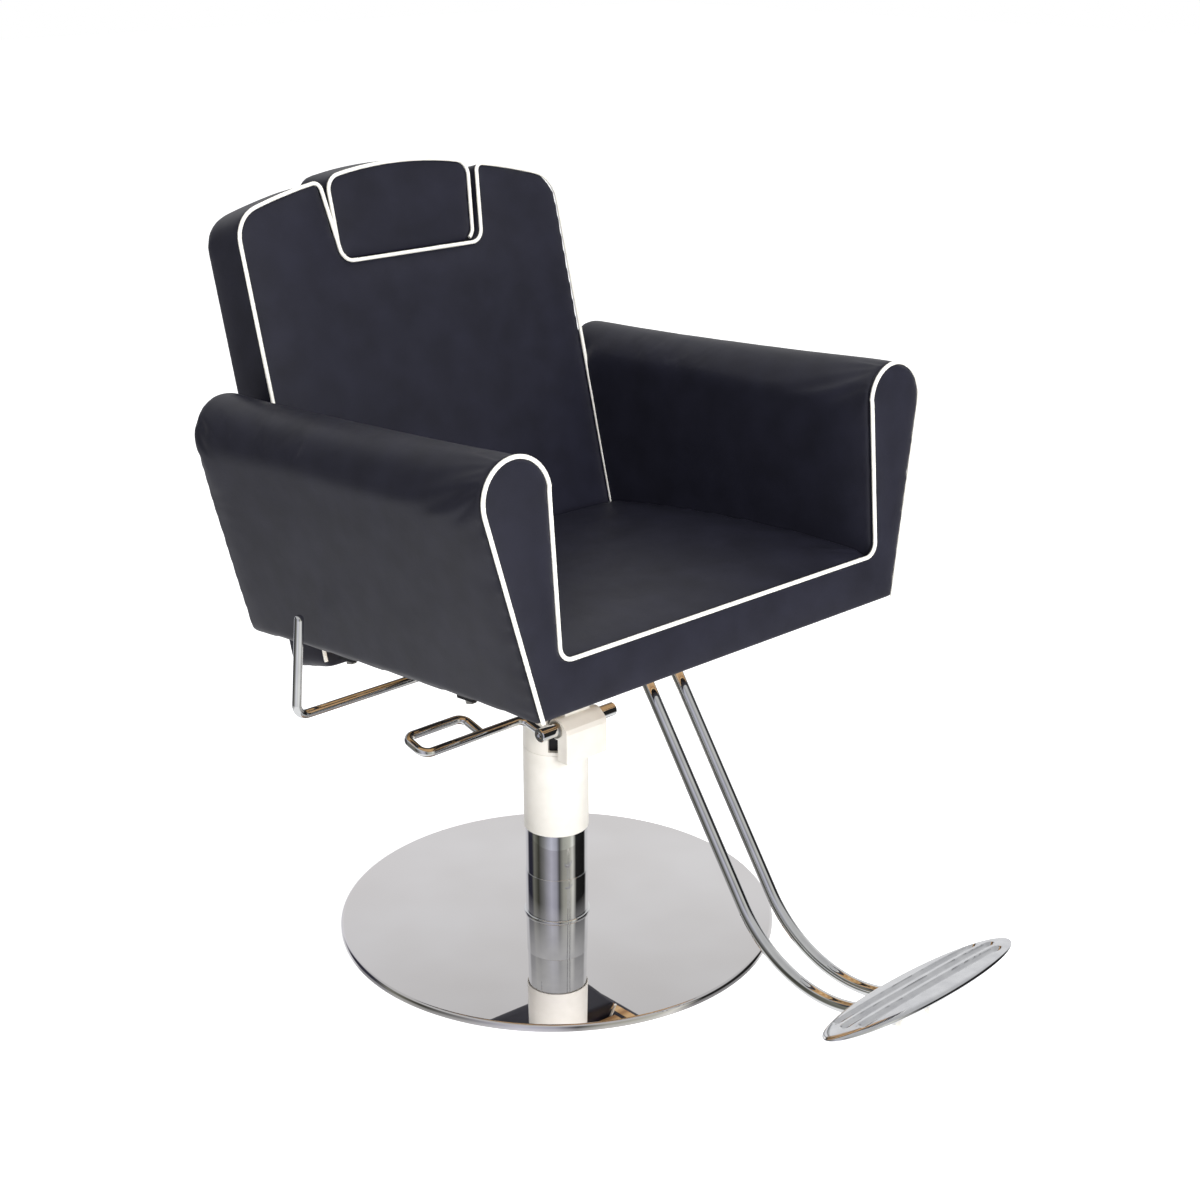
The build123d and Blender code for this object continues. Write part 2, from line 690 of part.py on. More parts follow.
# ---- recline hinge: cheeks on the seat frame, plates on the backrest -------------------------------
cheek_top = shell_bottom - cheek_top_gap
for side, side_name in ((1, "left"), (-1, "right")):
    cheek_x = rail_outer if side > 0 else -cheek_outer
    with BuildPart() as hinge_cheek:
        with BuildSketch(seat_side_plane(cheek_x)):
            with BuildLine():
                CenterArc((pivot_depth, pivot_height), pivot_boss, 0, 360)
                CenterArc((lever_depth, lever_height), pivot_boss, 0, 360)
                Line((cheek_front_depth, cheek_top), (rail_rear, cheek_top))
                Line((cheek_front_depth, rail_bottom), (cheek_front_depth, cheek_top))
            make_hull()
            with Locations((pivot_depth, pivot_height)):
                Circle(pivot_radius, mode=Mode.SUBTRACT)
            with Locations((lever_depth, lever_height)):
                Circle(lever_radius + running_gap, mode=Mode.SUBTRACT)
        extrude(amount=cheek_thick)
        with BuildSketch(shell_plane.offset(shell_bottom - outrigger_thick)):
            with Locations((0, rear_bar_depth)):
                Rectangle(2 * outrigger_half, bar_width)
        extrude(amount=outrigger_thick, mode=Mode.SUBTRACT)
        # the rear edge is cut back where the backrest's tail swings to
        with BuildSketch(side_plane(cheek_x)):
            with BuildLine():
                Polyline(
                    past_tail(tail_along, tail_behind),
                    past_tail(tail_along + tail_cut, tail_behind),
                    past_tail(tail_along + tail_cut, tail_behind + tail_cut),
                    past_tail(tail_along, tail_behind + tail_cut),
                    close=True,
                )
            make_face()
        extrude(amount=cheek_thick, mode=Mode.SUBTRACT)
    hinge_cheek.part.label = f"hinge_cheek_{side_name}"
    export_step(hinge_cheek.part, f"parts/hinge_cheek_{side_name}.step")

    plate_x = recline_inner if side > 0 else -recline_outer
    flange_x = side * (recline_outer - flange_reach / 2)
    flange_middle = (flange_top + flange_bottom) / 2
    with BuildPart() as recline_plate:
        slot_end = slot_start + recline_range + 2 * recline_slot_slack
        with BuildSketch(side_plane(plate_x)):
            with BuildLine():
                CenterArc((pivot_y, pivot_z), pivot_boss, 0, 360)
                CenterArc((lever_y, lever_z), pivot_boss, 0, 360)
                CenterArc(
                    (
                        pivot_y + slot_radius * cos(radians(slot_end)),
                        pivot_z + slot_radius * sin(radians(slot_end)),
                    ),
                    pivot_boss,
                    0,
                    360,
                )
                Line(
                    (
                        back_foot_y + flange_top * sin(lean),
                        back_foot_z + flange_top * cos(lean),
                    ),
                    (
                        back_foot_y + flange_bottom * sin(lean),
                        back_foot_z + flange_bottom * cos(lean),
                    ),
                )
            make_hull()
            with Locations((pivot_y, pivot_z)):
                Circle(pivot_radius + running_gap, mode=Mode.SUBTRACT)
            slot_arc = Edge.make_circle(
                slot_radius,
                Plane(origin=(pivot_y, pivot_z, 0)),
                start_angle=slot_start - recline_slot_slack,
                end_angle=slot_end,
            )
            SlotArc(slot_arc, recline_slot_width, mode=Mode.SUBTRACT)
        extrude(amount=recline_plate_thick)
        # what would stand in the backrest's tail is cut away
        with BuildSketch(back_plane):
            with Locations((0, (back_bottom - 1 + back_top) / 2)):
                Rectangle(2 * back_half, back_top - back_bottom + 1)
        extrude(amount=-back_thick, mode=Mode.SUBTRACT)
        with BuildSketch(back_plane):
            with Locations((flange_x, flange_middle)):
                Rectangle(flange_reach, flange_top - flange_bottom)
        extrude(amount=flange_thick)
        with BuildSketch(back_plane):
            with Locations((flange_x - side * tail_bolt_offset, flange_middle)):
                Circle(tail_bolt_radius)
        extrude(amount=flange_thick, mode=Mode.SUBTRACT)
    recline_plate.part.label = f"recline_plate_{side_name}"
    export_step(recline_plate.part, f"parts/recline_plate_{side_name}.step")

tail_bolt_x = recline_outer - flange_reach / 2 - tail_bolt_offset
tail_bolt_places = [(-tail_bolt_x, flange_middle), (tail_bolt_x, flange_middle)]
with BuildPart() as tail_bolts:
    with BuildSketch(back_plane.offset(flange_thick)):
        with Locations(*tail_bolt_places):
            RegularPolygon(tail_bolt_head, 6)
    extrude(amount=tail_bolt_head_thick)
    with BuildSketch(back_plane.offset(flange_thick)):
        with Locations(*tail_bolt_places):
            Circle(tail_bolt_radius)
    extrude(amount=-tail_bolt_length)
tail_bolts.part.label = "tail_bolts"
export_step(tail_bolts.part, "parts/tail_bolts.step")

with BuildPart() as pivot_rod:
    with BuildSketch(side_plane(-cheek_outer)):
        with Locations((pivot_y, pivot_z)):
            Circle(pivot_radius)
    extrude(amount=2 * cheek_outer)
pivot_rod.part.label = "pivot_rod"
export_step(pivot_rod.part, "parts/pivot_rod.step")

with BuildPart() as pivot_nuts:
    for nut_x in (cheek_outer, -cheek_outer - pivot_nut_thick):
        with BuildSketch(side_plane(nut_x)):
            with Locations((pivot_y, pivot_z)):
                RegularPolygon(pivot_nut_radius, 6)
        extrude(amount=pivot_nut_thick)
pivot_nuts.part.label = "pivot_nuts"
export_step(pivot_nuts.part, "parts/pivot_nuts.step")

# ---- recline lever --------------------------------------------------------------------------------
with BuildPart() as recline_lever:
    with BuildLine() as lever_line:
        FilletPolyline(
            (lever_inner_x, lever_y, lever_z),
            (lever_handle_x, lever_y, lever_z),
            (lever_handle_x, lever_handle_top_y, lever_handle_top_z),
            radius=lever_bend,
        )
    round_bar(lever_line.line, lever_radius)
    fillet(recline_lever.faces().sort_by(Axis.Z)[-1].edges(), radius=lever_radius * 0.9)
recline_lever.part.label = "recline_lever"
export_step(recline_lever.part, "parts/recline_lever.step")


def lever_rings(starts, radius, thick):
    """Adds rings round the lever's shaft, each from its start towards +X."""
    for start in starts:
        with BuildSketch(side_plane(start)) as ring:
            with Locations((lever_y, lever_z)):
                Circle(radius)
                Circle(lever_radius, mode=Mode.SUBTRACT)
        extrude(ring.sketch, amount=thick)


with BuildPart() as lever_collars:
    lever_rings(
        (cheek_outer + collar_gap, -cheek_outer - collar_gap - collar_thick),
        collar_radius,
        collar_thick,
    )
lever_collars.part.label = "lever_collars"
export_step(lever_collars.part, "parts/lever_collars.step")

with BuildPart() as lock_discs:
    lever_rings(
        (recline_inner - collar_gap - lock_disc_thick, -recline_inner + collar_gap),
        lock_disc_radius,
        lock_disc_thick,
    )
lock_discs.part.label = "lock_discs"
export_step(lock_discs.part, "parts/lock_discs.step")

with BuildPart() as lever_spring:
    for turn in range(spring_turns):
        turn_x = -recline_inner + collar_gap + lock_disc_thick + spring_wire + turn * spring_pitch
        with Locations(Location(side_plane(turn_x).offset(0))):
            with Locations((lever_y, lever_z)):
                Torus(lever_radius + 2 * spring_wire, spring_wire)
lever_spring.part.label = "lever_spring"
export_step(lever_spring.part, "parts/lever_spring.step")

# ---- seat and arms --------------------------------------------------------------------------------
board_length = board_rear - shell_front - apron_depth
with BuildPart() as seat_board:
    with BuildSketch(shell_plane.offset(shell_bottom)):
        with Locations((0, board_rear - board_length / 2)):
            Rectangle(2 * arm_inner - seal_gap, board_length)
        with Locations(*board_bolts_at):
            Circle(frame_bolt_radius, mode=Mode.SUBTRACT)
    extrude(amount=board_thick)
seat_board.part.label = "seat_board"
export_step(seat_board.part, "parts/seat_board.step")

with BuildPart() as apron_rail:
    with BuildSketch(cross_plane(shell_front + apron_depth)):
        with Locations((0, (shell_bottom + apron_top) / 2)):
            Rectangle(2 * (arm_inner - apron_core_end), apron_height - 2 * apron_core_edge)
    extrude(amount=apron_core_thick)
apron_rail.part.label = "apron_rail"
export_step(apron_rail.part, "parts/apron_rail.step")

with BuildPart() as front_apron:
    with BuildSketch(cross_plane(shell_front + apron_depth)):
        with Locations((0, (shell_bottom + apron_top) / 2)):
            Rectangle(2 * arm_inner - seal_gap, apron_height)
    extrude(amount=apron_depth)
    with BuildSketch(cross_plane(shell_front + apron_depth)):
        with Locations((0, (shell_bottom + apron_top) / 2)):
            Rectangle(2 * (arm_inner - apron_core_end), apron_height - 2 * apron_core_edge)
    extrude(amount=apron_core_thick, mode=Mode.SUBTRACT)
front_apron.part.label = "front_apron"
export_step(front_apron.part, "parts/front_apron.step")

cushion_front = shell_front + 2
cushion_rear_top = shell_bottom + cushion_rear_height
with BuildPart() as seat_cushion:
    with BuildSketch(seat_side_plane(-arm_inner + seal_gap)):
        with BuildLine():
            under = Polyline(
                (back_face_depth(cushion_rear_top) - seat_back_gap, cushion_rear_top),
                (back_face_depth(board_top) - seat_back_gap, board_top),
                (shell_front + apron_depth, board_top),
                (shell_front + apron_depth, apron_top),
                (cushion_front, apron_top),
                (cushion_front + cushion_front_roll, shell_bottom + cushion_front_height),
            )
            ThreePointArc(
                under @ 1,
                ((shell_front + board_rear) / 2, shell_bottom + cushion_crown_height),
                under @ 0,
            )
        make_face()
    extrude(amount=2 * arm_inner - 2 * seal_gap)
seat_cushion.part.label = "seat_cushion"
export_step(seat_cushion.part, "parts/seat_cushion.step")

# the arm's outer side is the tangent from its foot to the round on top
arm_round_x = arm_inner + arm_round
foot_to_round = hypot(arm_round_x - arm_foot, arm_round_height - shell_bottom)
flare = atan((arm_round_x - arm_foot) / (arm_round_height - shell_bottom))
flare += asin(arm_round / foot_to_round)
arm_length = arm_rear_foot - shell_front
core_length = arm_length - 2 * arm_core_margin
core_x = arm_core_inner + arm_core_thick / 2
core_depth = (arm_rear_foot + shell_front) / 2


def arm_section(inset):
    """Draws the arm's front outline, set in from its edge: foot, flared side, round top, inside."""
    foot = (arm_foot - inset, shell_bottom + inset)
    side_top = (
        arm_round_x + (arm_round - inset) * cos(flare),
        arm_round_height - (arm_round - inset) * sin(flare),
    )
    round_top = (arm_round_x, arm_round_height + arm_round - inset)
    inner_top = (arm_inner + inset, arm_round_height)
    Line(foot, side_top)
    ThreePointArc(side_top, round_top, inner_top)
    return foot, inner_top


for side, side_name in ((1, "left"), (-1, "right")):
    with BuildPart() as arm_pad:
        with BuildSketch(cross_plane(arm_rear_foot)):
            with BuildLine():
                foot_point, inner_point = arm_section(0)
                Polyline(inner_point, (arm_inner, shell_bottom), foot_point)
            make_face()
        extrude(amount=arm_length)
        with BuildSketch(seat_side_plane(arm_inner)):
            with BuildLine():
                Polyline(
                    (arm_rear_foot, shell_bottom),
                    (arm_rear_top, arm_round_height + arm_round),
                    (arm_rear_foot + 1, arm_round_height + arm_round),
                    close=True,
                )
            make_face()
        extrude(amount=3 * arm_round, mode=Mode.SUBTRACT)
        with BuildSketch(shell_plane.offset(shell_bottom)):
            with Locations((core_x, core_depth)):
                Rectangle(arm_core_thick, core_length)
        extrude(amount=arm_core_height, mode=Mode.SUBTRACT)
        if side < 0:
            mirror(about=Plane.YZ, mode=Mode.REPLACE)
    arm_pad.part.label = f"arm_pad_{side_name}"
    export_step(arm_pad.part, f"parts/arm_pad_{side_name}.step")

    with BuildPart() as arm_core:
        with BuildSketch(shell_plane.offset(shell_bottom)):
            with Locations((side * core_x, core_depth)):
                Rectangle(arm_core_thick, core_length)
        extrude(amount=arm_core_height)
        with BuildSketch(shell_plane.offset(shell_bottom)):
            with Locations(*[p for p in arm_bolts_at if p[0] * side > 0]):
                Circle(frame_bolt_radius)
        extrude(amount=arm_bolt_length - outrigger_thick, mode=Mode.SUBTRACT)
    arm_core.part.label = f"arm_core_{side_name}"
    export_step(arm_core.part, f"parts/arm_core_{side_name}.step")

with BuildPart() as seat_piping:
    with BuildLine(cross_plane(shell_front - pipe_radius - running_gap)) as half_pipe:
        foot_point, inner_point = arm_section(pipe_radius)
        corner_end = (arm_inner - seat_corner_radius, seat_front_pipe)
        corner_start = (arm_inner + pipe_radius, seat_front_pipe + seat_corner_radius)
        drop = Line(inner_point, corner_start)
        bend = TangentArc(corner_start, corner_end, tangent=drop % 1)
        Line(corner_end, (0, seat_front_pipe))
    round_bar(half_pipe.line, pipe_radius)
    mirror(about=Plane.YZ)
seat_piping.part.label = "seat_piping"
export_step(seat_piping.part, "parts/seat_piping.step")

# ---- backrest -------------------------------------------------------------------------------------
notch_slope = (notch_half_top - notch_half_bottom) / (notch_measured_at - notch_bottom)
notch_mouth = back_top + 60
notch_mouth_half = notch_half_bottom + notch_slope * (notch_mouth - notch_bottom)


def back_outline():
    """Draws the backrest's front face: a tall panel with an arched top and a notch for the headrest."""
    with Locations((0, (back_bottom + back_top) / 2)):
        Rectangle(2 * back_half, back_top - back_bottom)
    with Locations((0, back_top - back_top_radius)):
        Circle(back_top_radius, mode=Mode.INTERSECT)
    sketch = BuildSketch._get_context()
    fillet(sketch.vertices().group_by(Axis.Y)[-1], radius=back_corner)
    fillet(sketch.vertices().group_by(Axis.Y)[0], radius=back_foot_corner)
    with BuildSketch(mode=Mode.PRIVATE) as notch:
        with BuildLine():
            Polyline(
                (-notch_half_bottom, notch_bottom),
                (notch_half_bottom, notch_bottom),
                (notch_mouth_half, notch_mouth),
                (-notch_mouth_half, notch_mouth),
                close=True,
            )
        make_face()
        fillet(notch.vertices().group_by(Axis.Y)[0], radius=notch_corner)
    add(notch.sketch, mode=Mode.SUBTRACT)
    lips = sketch.vertices().filter_by(
        lambda v: abs(v.X) < notch_mouth_half and v.Y > notch_measured_at
    )
    fillet(lips, radius=notch_lip)


with BuildSketch() as back_face:
    back_outline()
with BuildSketch() as back_board_face:
    add(offset(back_face.sketch, amount=-back_board_inset, mode=Mode.PRIVATE))

guide_places = [(-stem_x, notch_bottom), (stem_x, notch_bottom)]


def guide_slots():
    """Draws the slots in which the headrest guides lie, open to the notch."""
    for stem_side in (-1, 1):
        with Locations((stem_side * stem_x, notch_bottom - guide_length / 2 + 1)):
            Rectangle(2 * guide_radius, guide_length + 2)


back_slab = back_plane.offset(-back_pad_thick)
with BuildPart() as back_board:
    with BuildSketch(back_slab):
        add(back_board_face.sketch)
    extrude(amount=-back_board_thick)
    with BuildSketch(back_slab):
        guide_slots()
    extrude(amount=-back_board_thick, mode=Mode.SUBTRACT)
    with BuildSketch(back_slab):
        with Locations(*tail_bolt_places):
            Circle(tail_bolt_radius)
    extrude(amount=-back_board_thick, mode=Mode.SUBTRACT)
back_board.part.label = "back_board"
export_step(back_board.part, "parts/back_board.step")

with BuildPart() as back_front_pad:
    with BuildSketch(back_plane):
        add(back_face.sketch)
    extrude(amount=-back_pad_thick - back_board_thick)
    with BuildSketch(back_slab):
        add(back_board_face.sketch)
        guide_slots()
    extrude(amount=-back_board_thick, mode=Mode.SUBTRACT)
    with BuildSketch(back_plane):
        with Locations(*tail_bolt_places):
            Circle(tail_bolt_radius)
    extrude(amount=-back_pad_thick, mode=Mode.SUBTRACT)
back_front_pad.part.label = "back_front_pad"
export_step(back_front_pad.part, "parts/back_front_pad.step")

with BuildPart() as back_rear_pad:
    with BuildSketch(back_plane.offset(-back_pad_thick - back_board_thick)):
        add(back_face.sketch)
    extrude(amount=-back_rear_thick)
back_rear_pad.part.label = "back_rear_pad"
export_step(back_rear_pad.part, "parts/back_rear_pad.step")

with BuildPart() as back_piping:
    with BuildSketch(mode=Mode.PRIVATE) as back_pipe_face:
        add(offset(back_face.sketch, amount=-pipe_radius, mode=Mode.PRIVATE))
    # the piping is open across the foot, between the ends of its two sides
    piped_edges = back_pipe_face.sketch.edges().filter_by(
        lambda e: e.center().Y > back_bottom + back_foot_corner
    )
    pipe_plane = back_plane.offset(pipe_radius + running_gap)
    back_pipe_wire = pipe_plane.from_local_coords(Wire(piped_edges))
    round_bar(back_pipe_wire, pipe_radius)
back_piping.part.label = "back_piping"
export_step(back_piping.part, "parts/back_piping.step")

guide_plane = Plane(
    origin=back_plane.from_local_coords((0, notch_bottom, -back_pad_thick - back_board_thick / 2)),
    x_dir=(1, 0, 0),
    z_dir=back_plane.y_dir,
)
with BuildPart() as headrest_guides:
    with BuildSketch(guide_plane):
        with Locations((-stem_x, 0), (stem_x, 0)):
            Circle(guide_radius)
            Circle(stem_radius + running_gap, mode=Mode.SUBTRACT)
    extrude(amount=-guide_length)
headrest_guides.part.label = "headrest_guides"
export_step(headrest_guides.part, "parts/headrest_guides.step")

# ---- headrest -------------------------------------------------------------------------------------
headrest_bottom = notch_bottom + headrest_gap
headrest_slope = (headrest_half_top - headrest_half_bottom) / (notch_measured_at - headrest_bottom)
headrest_mouth = headrest_top + 20
headrest_mouth_half = headrest_half_bottom + headrest_slope * (headrest_mouth - headrest_bottom)

with BuildSketch() as headrest_face:
    with BuildLine():
        Polyline(
            (-headrest_half_bottom, headrest_bottom),
            (headrest_half_bottom, headrest_bottom),
            (headrest_mouth_half, headrest_mouth),
            (-headrest_mouth_half, headrest_mouth),
            close=True,
        )
    make_face()
    with Locations((0, headrest_top - headrest_top_radius)):
        Circle(headrest_top_radius, mode=Mode.INTERSECT)
    fillet(headrest_face.vertices(), radius=headrest_corner)
with BuildSketch() as headrest_board_face:
    add(offset(headrest_face.sketch, amount=-headrest_board_inset, mode=Mode.PRIVATE))

stem_plane = guide_plane.offset(stem_bottom - notch_bottom)
with BuildPart() as headrest_stems:
    with BuildSketch(stem_plane):
        with Locations((-stem_x, 0), (stem_x, 0)):
            Circle(stem_radius)
    extrude(amount=stem_top - stem_bottom)
headrest_stems.part.label = "headrest_stems"
export_step(headrest_stems.part, "parts/headrest_stems.step")

with BuildPart() as headrest_board:
    with BuildSketch(back_slab):
        add(headrest_board_face.sketch)
    extrude(amount=-back_board_thick)
    add(headrest_stems.part, mode=Mode.SUBTRACT)
headrest_board.part.label = "headrest_board"
export_step(headrest_board.part, "parts/headrest_board.step")

with BuildPart() as headrest_pad:
    with BuildSketch(back_plane.offset(headrest_proud)):
        add(headrest_face.sketch)
    extrude(amount=-headrest_proud - headrest_depth)
    with BuildSketch(back_slab):
        add(headrest_board_face.sketch)
    extrude(amount=-back_board_thick, mode=Mode.SUBTRACT)
    add(headrest_stems.part, mode=Mode.SUBTRACT)
headrest_pad.part.label = "headrest_pad"
export_step(headrest_pad.part, "parts/headrest_pad.step")

with BuildPart() as headrest_piping:
    with BuildSketch(mode=Mode.PRIVATE) as headrest_pipe_face:
        add(offset(headrest_face.sketch, amount=-pipe_radius, mode=Mode.PRIVATE))
    # the piping goes up the sides and over the top, and is open across the bottom
    headrest_edges = headrest_pipe_face.sketch.faces()[0].outer_wire().edges()
    headrest_run = headrest_edges.filter_by(
        lambda e: e.center().Y > headrest_bottom + headrest_corner
    )
    head_pipe_plane = back_plane.offset(headrest_proud + pipe_radius + running_gap)
    headrest_wire = head_pipe_plane.from_local_coords(Wire(headrest_run))
    round_bar(headrest_wire, pipe_radius)
headrest_piping.part.label = "headrest_piping"
export_step(headrest_piping.part, "parts/headrest_piping.step")

# ---- footrest -------------------------------------------------------------------------------------
rise = radians(foot_rise)
# the corner where the straight drop and the rising run would meet
corner_z = (foot_end_z - tan(rise) * (foot_line_y - foot_line_slope * foot_line_z - foot_end_y)) / (
    1 + tan(rise) * foot_line_slope
)
corner_y = foot_line_y + foot_line_slope * (corner_z - foot_line_z)
socket_top = shell_plane.from_local_coords((0, foot_line_depth(rail_bottom), rail_bottom))

for side, side_name in ((1, "left"), (-1, "right")):
    tube_x = side * foot_tube_x
    with BuildPart() as footrest_tube:
        with BuildLine() as foot_line:
            FilletPolyline(
                (tube_x, socket_top.Y, socket_top.Z),
                (tube_x, corner_y, corner_z),
                (tube_x, foot_end_y, foot_end_z),
                radius=foot_bend,
            )
        round_bar(foot_line.line, foot_tube_radius)
        split(bisect_by=shell_plane.offset(rail_bottom), keep=Keep.BOTTOM)
    footrest_tube.part.label = f"footrest_tube_{side_name}"
    export_step(footrest_tube.part, f"parts/footrest_tube_{side_name}.step")

drop_dir = Vector(0, foot_line_slope, 1).normalized()
with BuildPart() as footrest_bracket:
    with BuildSketch(shell_plane.offset(foot_socket_height)):
        with Locations((0, bracket_depth)):
            RectangleRounded(2 * foot_bracket_half, foot_bracket_depth, foot_bracket_corner)
        with Locations(*bracket_bolts):
            Circle(frame_bolt_radius, mode=Mode.SUBTRACT)
    extrude(amount=foot_bracket_thick)
    for tube_x in (-foot_tube_x, foot_tube_x):
        socket_start = Vector(tube_x, socket_top.Y, socket_top.Z) + drop_dir * 40
        with BuildSketch(Plane(origin=socket_start, x_dir=(1, 0, 0), z_dir=-drop_dir)):
            Circle(foot_tube_radius)
        extrude(amount=80, mode=Mode.SUBTRACT)
footrest_bracket.part.label = "footrest_bracket"
export_step(footrest_bracket.part, "parts/footrest_bracket.step")

end_dir = Vector(0, -cos(rise), sin(rise))
with BuildPart() as footrest_caps:
    for tube_x in (-foot_tube_x, foot_tube_x):
        with BuildSketch(
            Plane(origin=(tube_x, foot_end_y, foot_end_z), x_dir=(1, 0, 0), z_dir=end_dir)
        ):
            Circle(foot_cap_radius)
        extrude(amount=foot_cap_length)
    fillet(footrest_caps.edges().group_by(Axis.Y)[0], radius=4)
footrest_caps.part.label = "footrest_caps"
export_step(footrest_caps.part, "parts/footrest_caps.step")

plate_tilt = radians(foot_plate_tilt)
foot_plane = Plane(
    origin=(0, foot_plate_y, foot_plate_z),
    x_dir=(1, 0, 0),
    z_dir=(0, sin(plate_tilt), cos(plate_tilt)),
)
with BuildPart() as footrest_plate:
    with BuildSketch(foot_plane.offset(-foot_plate_thick / 2)):
        Ellipse(foot_plate_half, foot_plate_depth)
    extrude(amount=foot_plate_thick)
    fillet(footrest_plate.edges(), radius=foot_plate_edge)
    for groove in (-1, 0, 1):
        groove_y = groove * foot_groove_pitch
        groove_half = 0.82 * foot_plate_half * (1 - (groove_y / foot_plate_depth) ** 2) ** 0.5
        with BuildSketch(foot_plane.offset(foot_plate_thick / 2)):
            with Locations((0, groove_y)):
                SlotOverall(2 * groove_half, foot_groove_width)
        extrude(amount=-foot_groove_depth, mode=Mode.SUBTRACT)
footrest_plate.part.label = "footrest_plate"
export_step(footrest_plate.part, "parts/footrest_plate.step")

lug_foot_z = foot_end_z - tan(rise) * (foot_lug_y - foot_end_y) + foot_tube_radius / cos(rise)
with BuildPart() as footrest_lugs:
    with BuildSketch(Plane.XY.offset(lug_foot_z - foot_tube_radius)):
        with Locations((-foot_tube_x, foot_lug_y), (foot_tube_x, foot_lug_y)):
            Circle(foot_lug_radius)
    extrude(amount=60)
    split(bisect_by=foot_plane.offset(-foot_plate_thick / 2), keep=Keep.BOTTOM)
    for tube_x in (-foot_tube_x, foot_tube_x):
        with BuildSketch(
            Plane(origin=(tube_x, foot_end_y, foot_end_z), x_dir=(1, 0, 0), z_dir=-end_dir)
        ):
            Circle(foot_tube_radius)
        extrude(amount=70, mode=Mode.SUBTRACT)
footrest_lugs.part.label = "footrest_lugs"
export_step(footrest_lugs.part, "parts/footrest_lugs.step")
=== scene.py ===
import json
from math import asin, atan, cos, exp, hypot, pi, radians, sin, tan, tanh

import bpy
from mathutils import Matrix, Vector, kdtree


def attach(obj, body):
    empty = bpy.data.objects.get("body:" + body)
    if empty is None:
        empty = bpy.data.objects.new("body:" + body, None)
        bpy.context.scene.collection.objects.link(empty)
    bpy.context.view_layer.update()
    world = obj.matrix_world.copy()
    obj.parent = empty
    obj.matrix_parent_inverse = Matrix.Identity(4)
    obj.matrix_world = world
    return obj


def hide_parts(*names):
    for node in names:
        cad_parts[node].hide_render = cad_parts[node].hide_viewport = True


# Styling chair: padded seat shell, reclining back with a headrest, pedestal and footrest.
# Metres, +Z up, origin on the floor under the column, the sitter faces -Y.

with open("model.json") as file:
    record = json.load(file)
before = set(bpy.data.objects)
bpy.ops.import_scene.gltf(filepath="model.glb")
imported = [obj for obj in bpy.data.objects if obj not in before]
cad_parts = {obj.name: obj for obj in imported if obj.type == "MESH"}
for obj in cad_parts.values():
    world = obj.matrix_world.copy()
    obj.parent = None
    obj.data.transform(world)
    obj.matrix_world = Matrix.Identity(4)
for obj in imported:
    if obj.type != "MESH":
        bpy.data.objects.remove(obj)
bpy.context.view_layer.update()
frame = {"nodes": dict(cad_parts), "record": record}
MM = 0.001

# ---- camera and light ----------------------------------------------------------------------------
CAMERA_PLACE = (-1.5977, -1.8125, 1.3617)
CAMERA_PITCH = 20.29
CAMERA_TURN = -42.817
CAMERA_LENS = 58.66

bpy.ops.object.camera_add(
    location=CAMERA_PLACE,
    rotation=(radians(90 - CAMERA_PITCH), 0, radians(CAMERA_TURN)),
)
camera = bpy.context.object
camera.name = "camera"
camera.data.lens = CAMERA_LENS
camera.data.sensor_width = 36.0
bpy.context.scene.camera = camera
bpy.context.scene.view_settings.view_transform = "Standard"


def softbox(name, place, target, width, height, power, tint):
    """A large rectangular studio light at place, facing target."""
    bpy.ops.object.light_add(type="AREA", location=place)
    light = bpy.context.object
    light.name = name
    light.rotation_euler = (Vector(target) - Vector(place)).to_track_quat("-Z", "Y").to_euler()
    light.data.shape = "RECTANGLE"
    light.data.size = width
    light.data.size_y = height
    light.data.energy = power
    light.data.color = tint
    light.visible_glossy = False
    return light


COOL = (0.95, 0.955, 1.0)
WHITE = (1.0, 1.0, 1.0)
softbox("front_softbox", (-0.9, -3.6, 2.0), (0, 0, 0.6), 2.6, 1.8, 150, COOL)
softbox("top_softbox", (0.2, -0.2, 3.4), (0, 0, 0.5), 2.2, 2.2, 26, WHITE)


# ---- materials -----------------------------------------------------------------------------------
def paint(code):
    """A colour from its sRGB hex code, as linear RGBA."""
    values = [int(code[i : i + 2], 16) / 255 for i in (1, 3, 5)]
    linear = [v / 12.92 if v <= 0.04045 else ((v + 0.055) / 1.055) ** 2.4 for v in values]
    return (*linear, 1)


def add_node(tree, kind, links=None, **settings):
    """Adds a node, sets its properties, and fills its inputs with values or with outputs."""
    made = tree.nodes.new(kind)
    for key, value in settings.items():
        setattr(made, key, value)
    for key, value in (links or {}).items():
        if isinstance(value, bpy.types.NodeSocket):
            tree.links.new(value, made.inputs[key])
        else:
            made.inputs[key].default_value = value
    return made


def start_material(name):
    """An empty material with its tree, Object coordinates, shader and output."""
    material = bpy.data.materials.new(name)
    material.use_nodes = True
    tree = material.node_tree
    tree.nodes.clear()
    place = add_node(tree, "ShaderNodeTexCoord").outputs["Object"]
    shader = add_node(tree, "ShaderNodeBsdfPrincipled")
    add_node(tree, "ShaderNodeOutputMaterial", {"Surface": shader.outputs["BSDF"]})
    return material, tree, place, shader


def ramp(tree, factor, stops):
    """A colour ramp through stops of (place, colour), driven by factor."""
    made = add_node(tree, "ShaderNodeValToRGB", {"Fac": factor})
    elements = made.color_ramp.elements
    elements[0].position, elements[0].color = stops[0]
    elements[1].position, elements[1].color = stops[-1]
    for position, colour in stops[1:-1]:
        elements.new(position).color = colour
    return made.outputs["Color"]


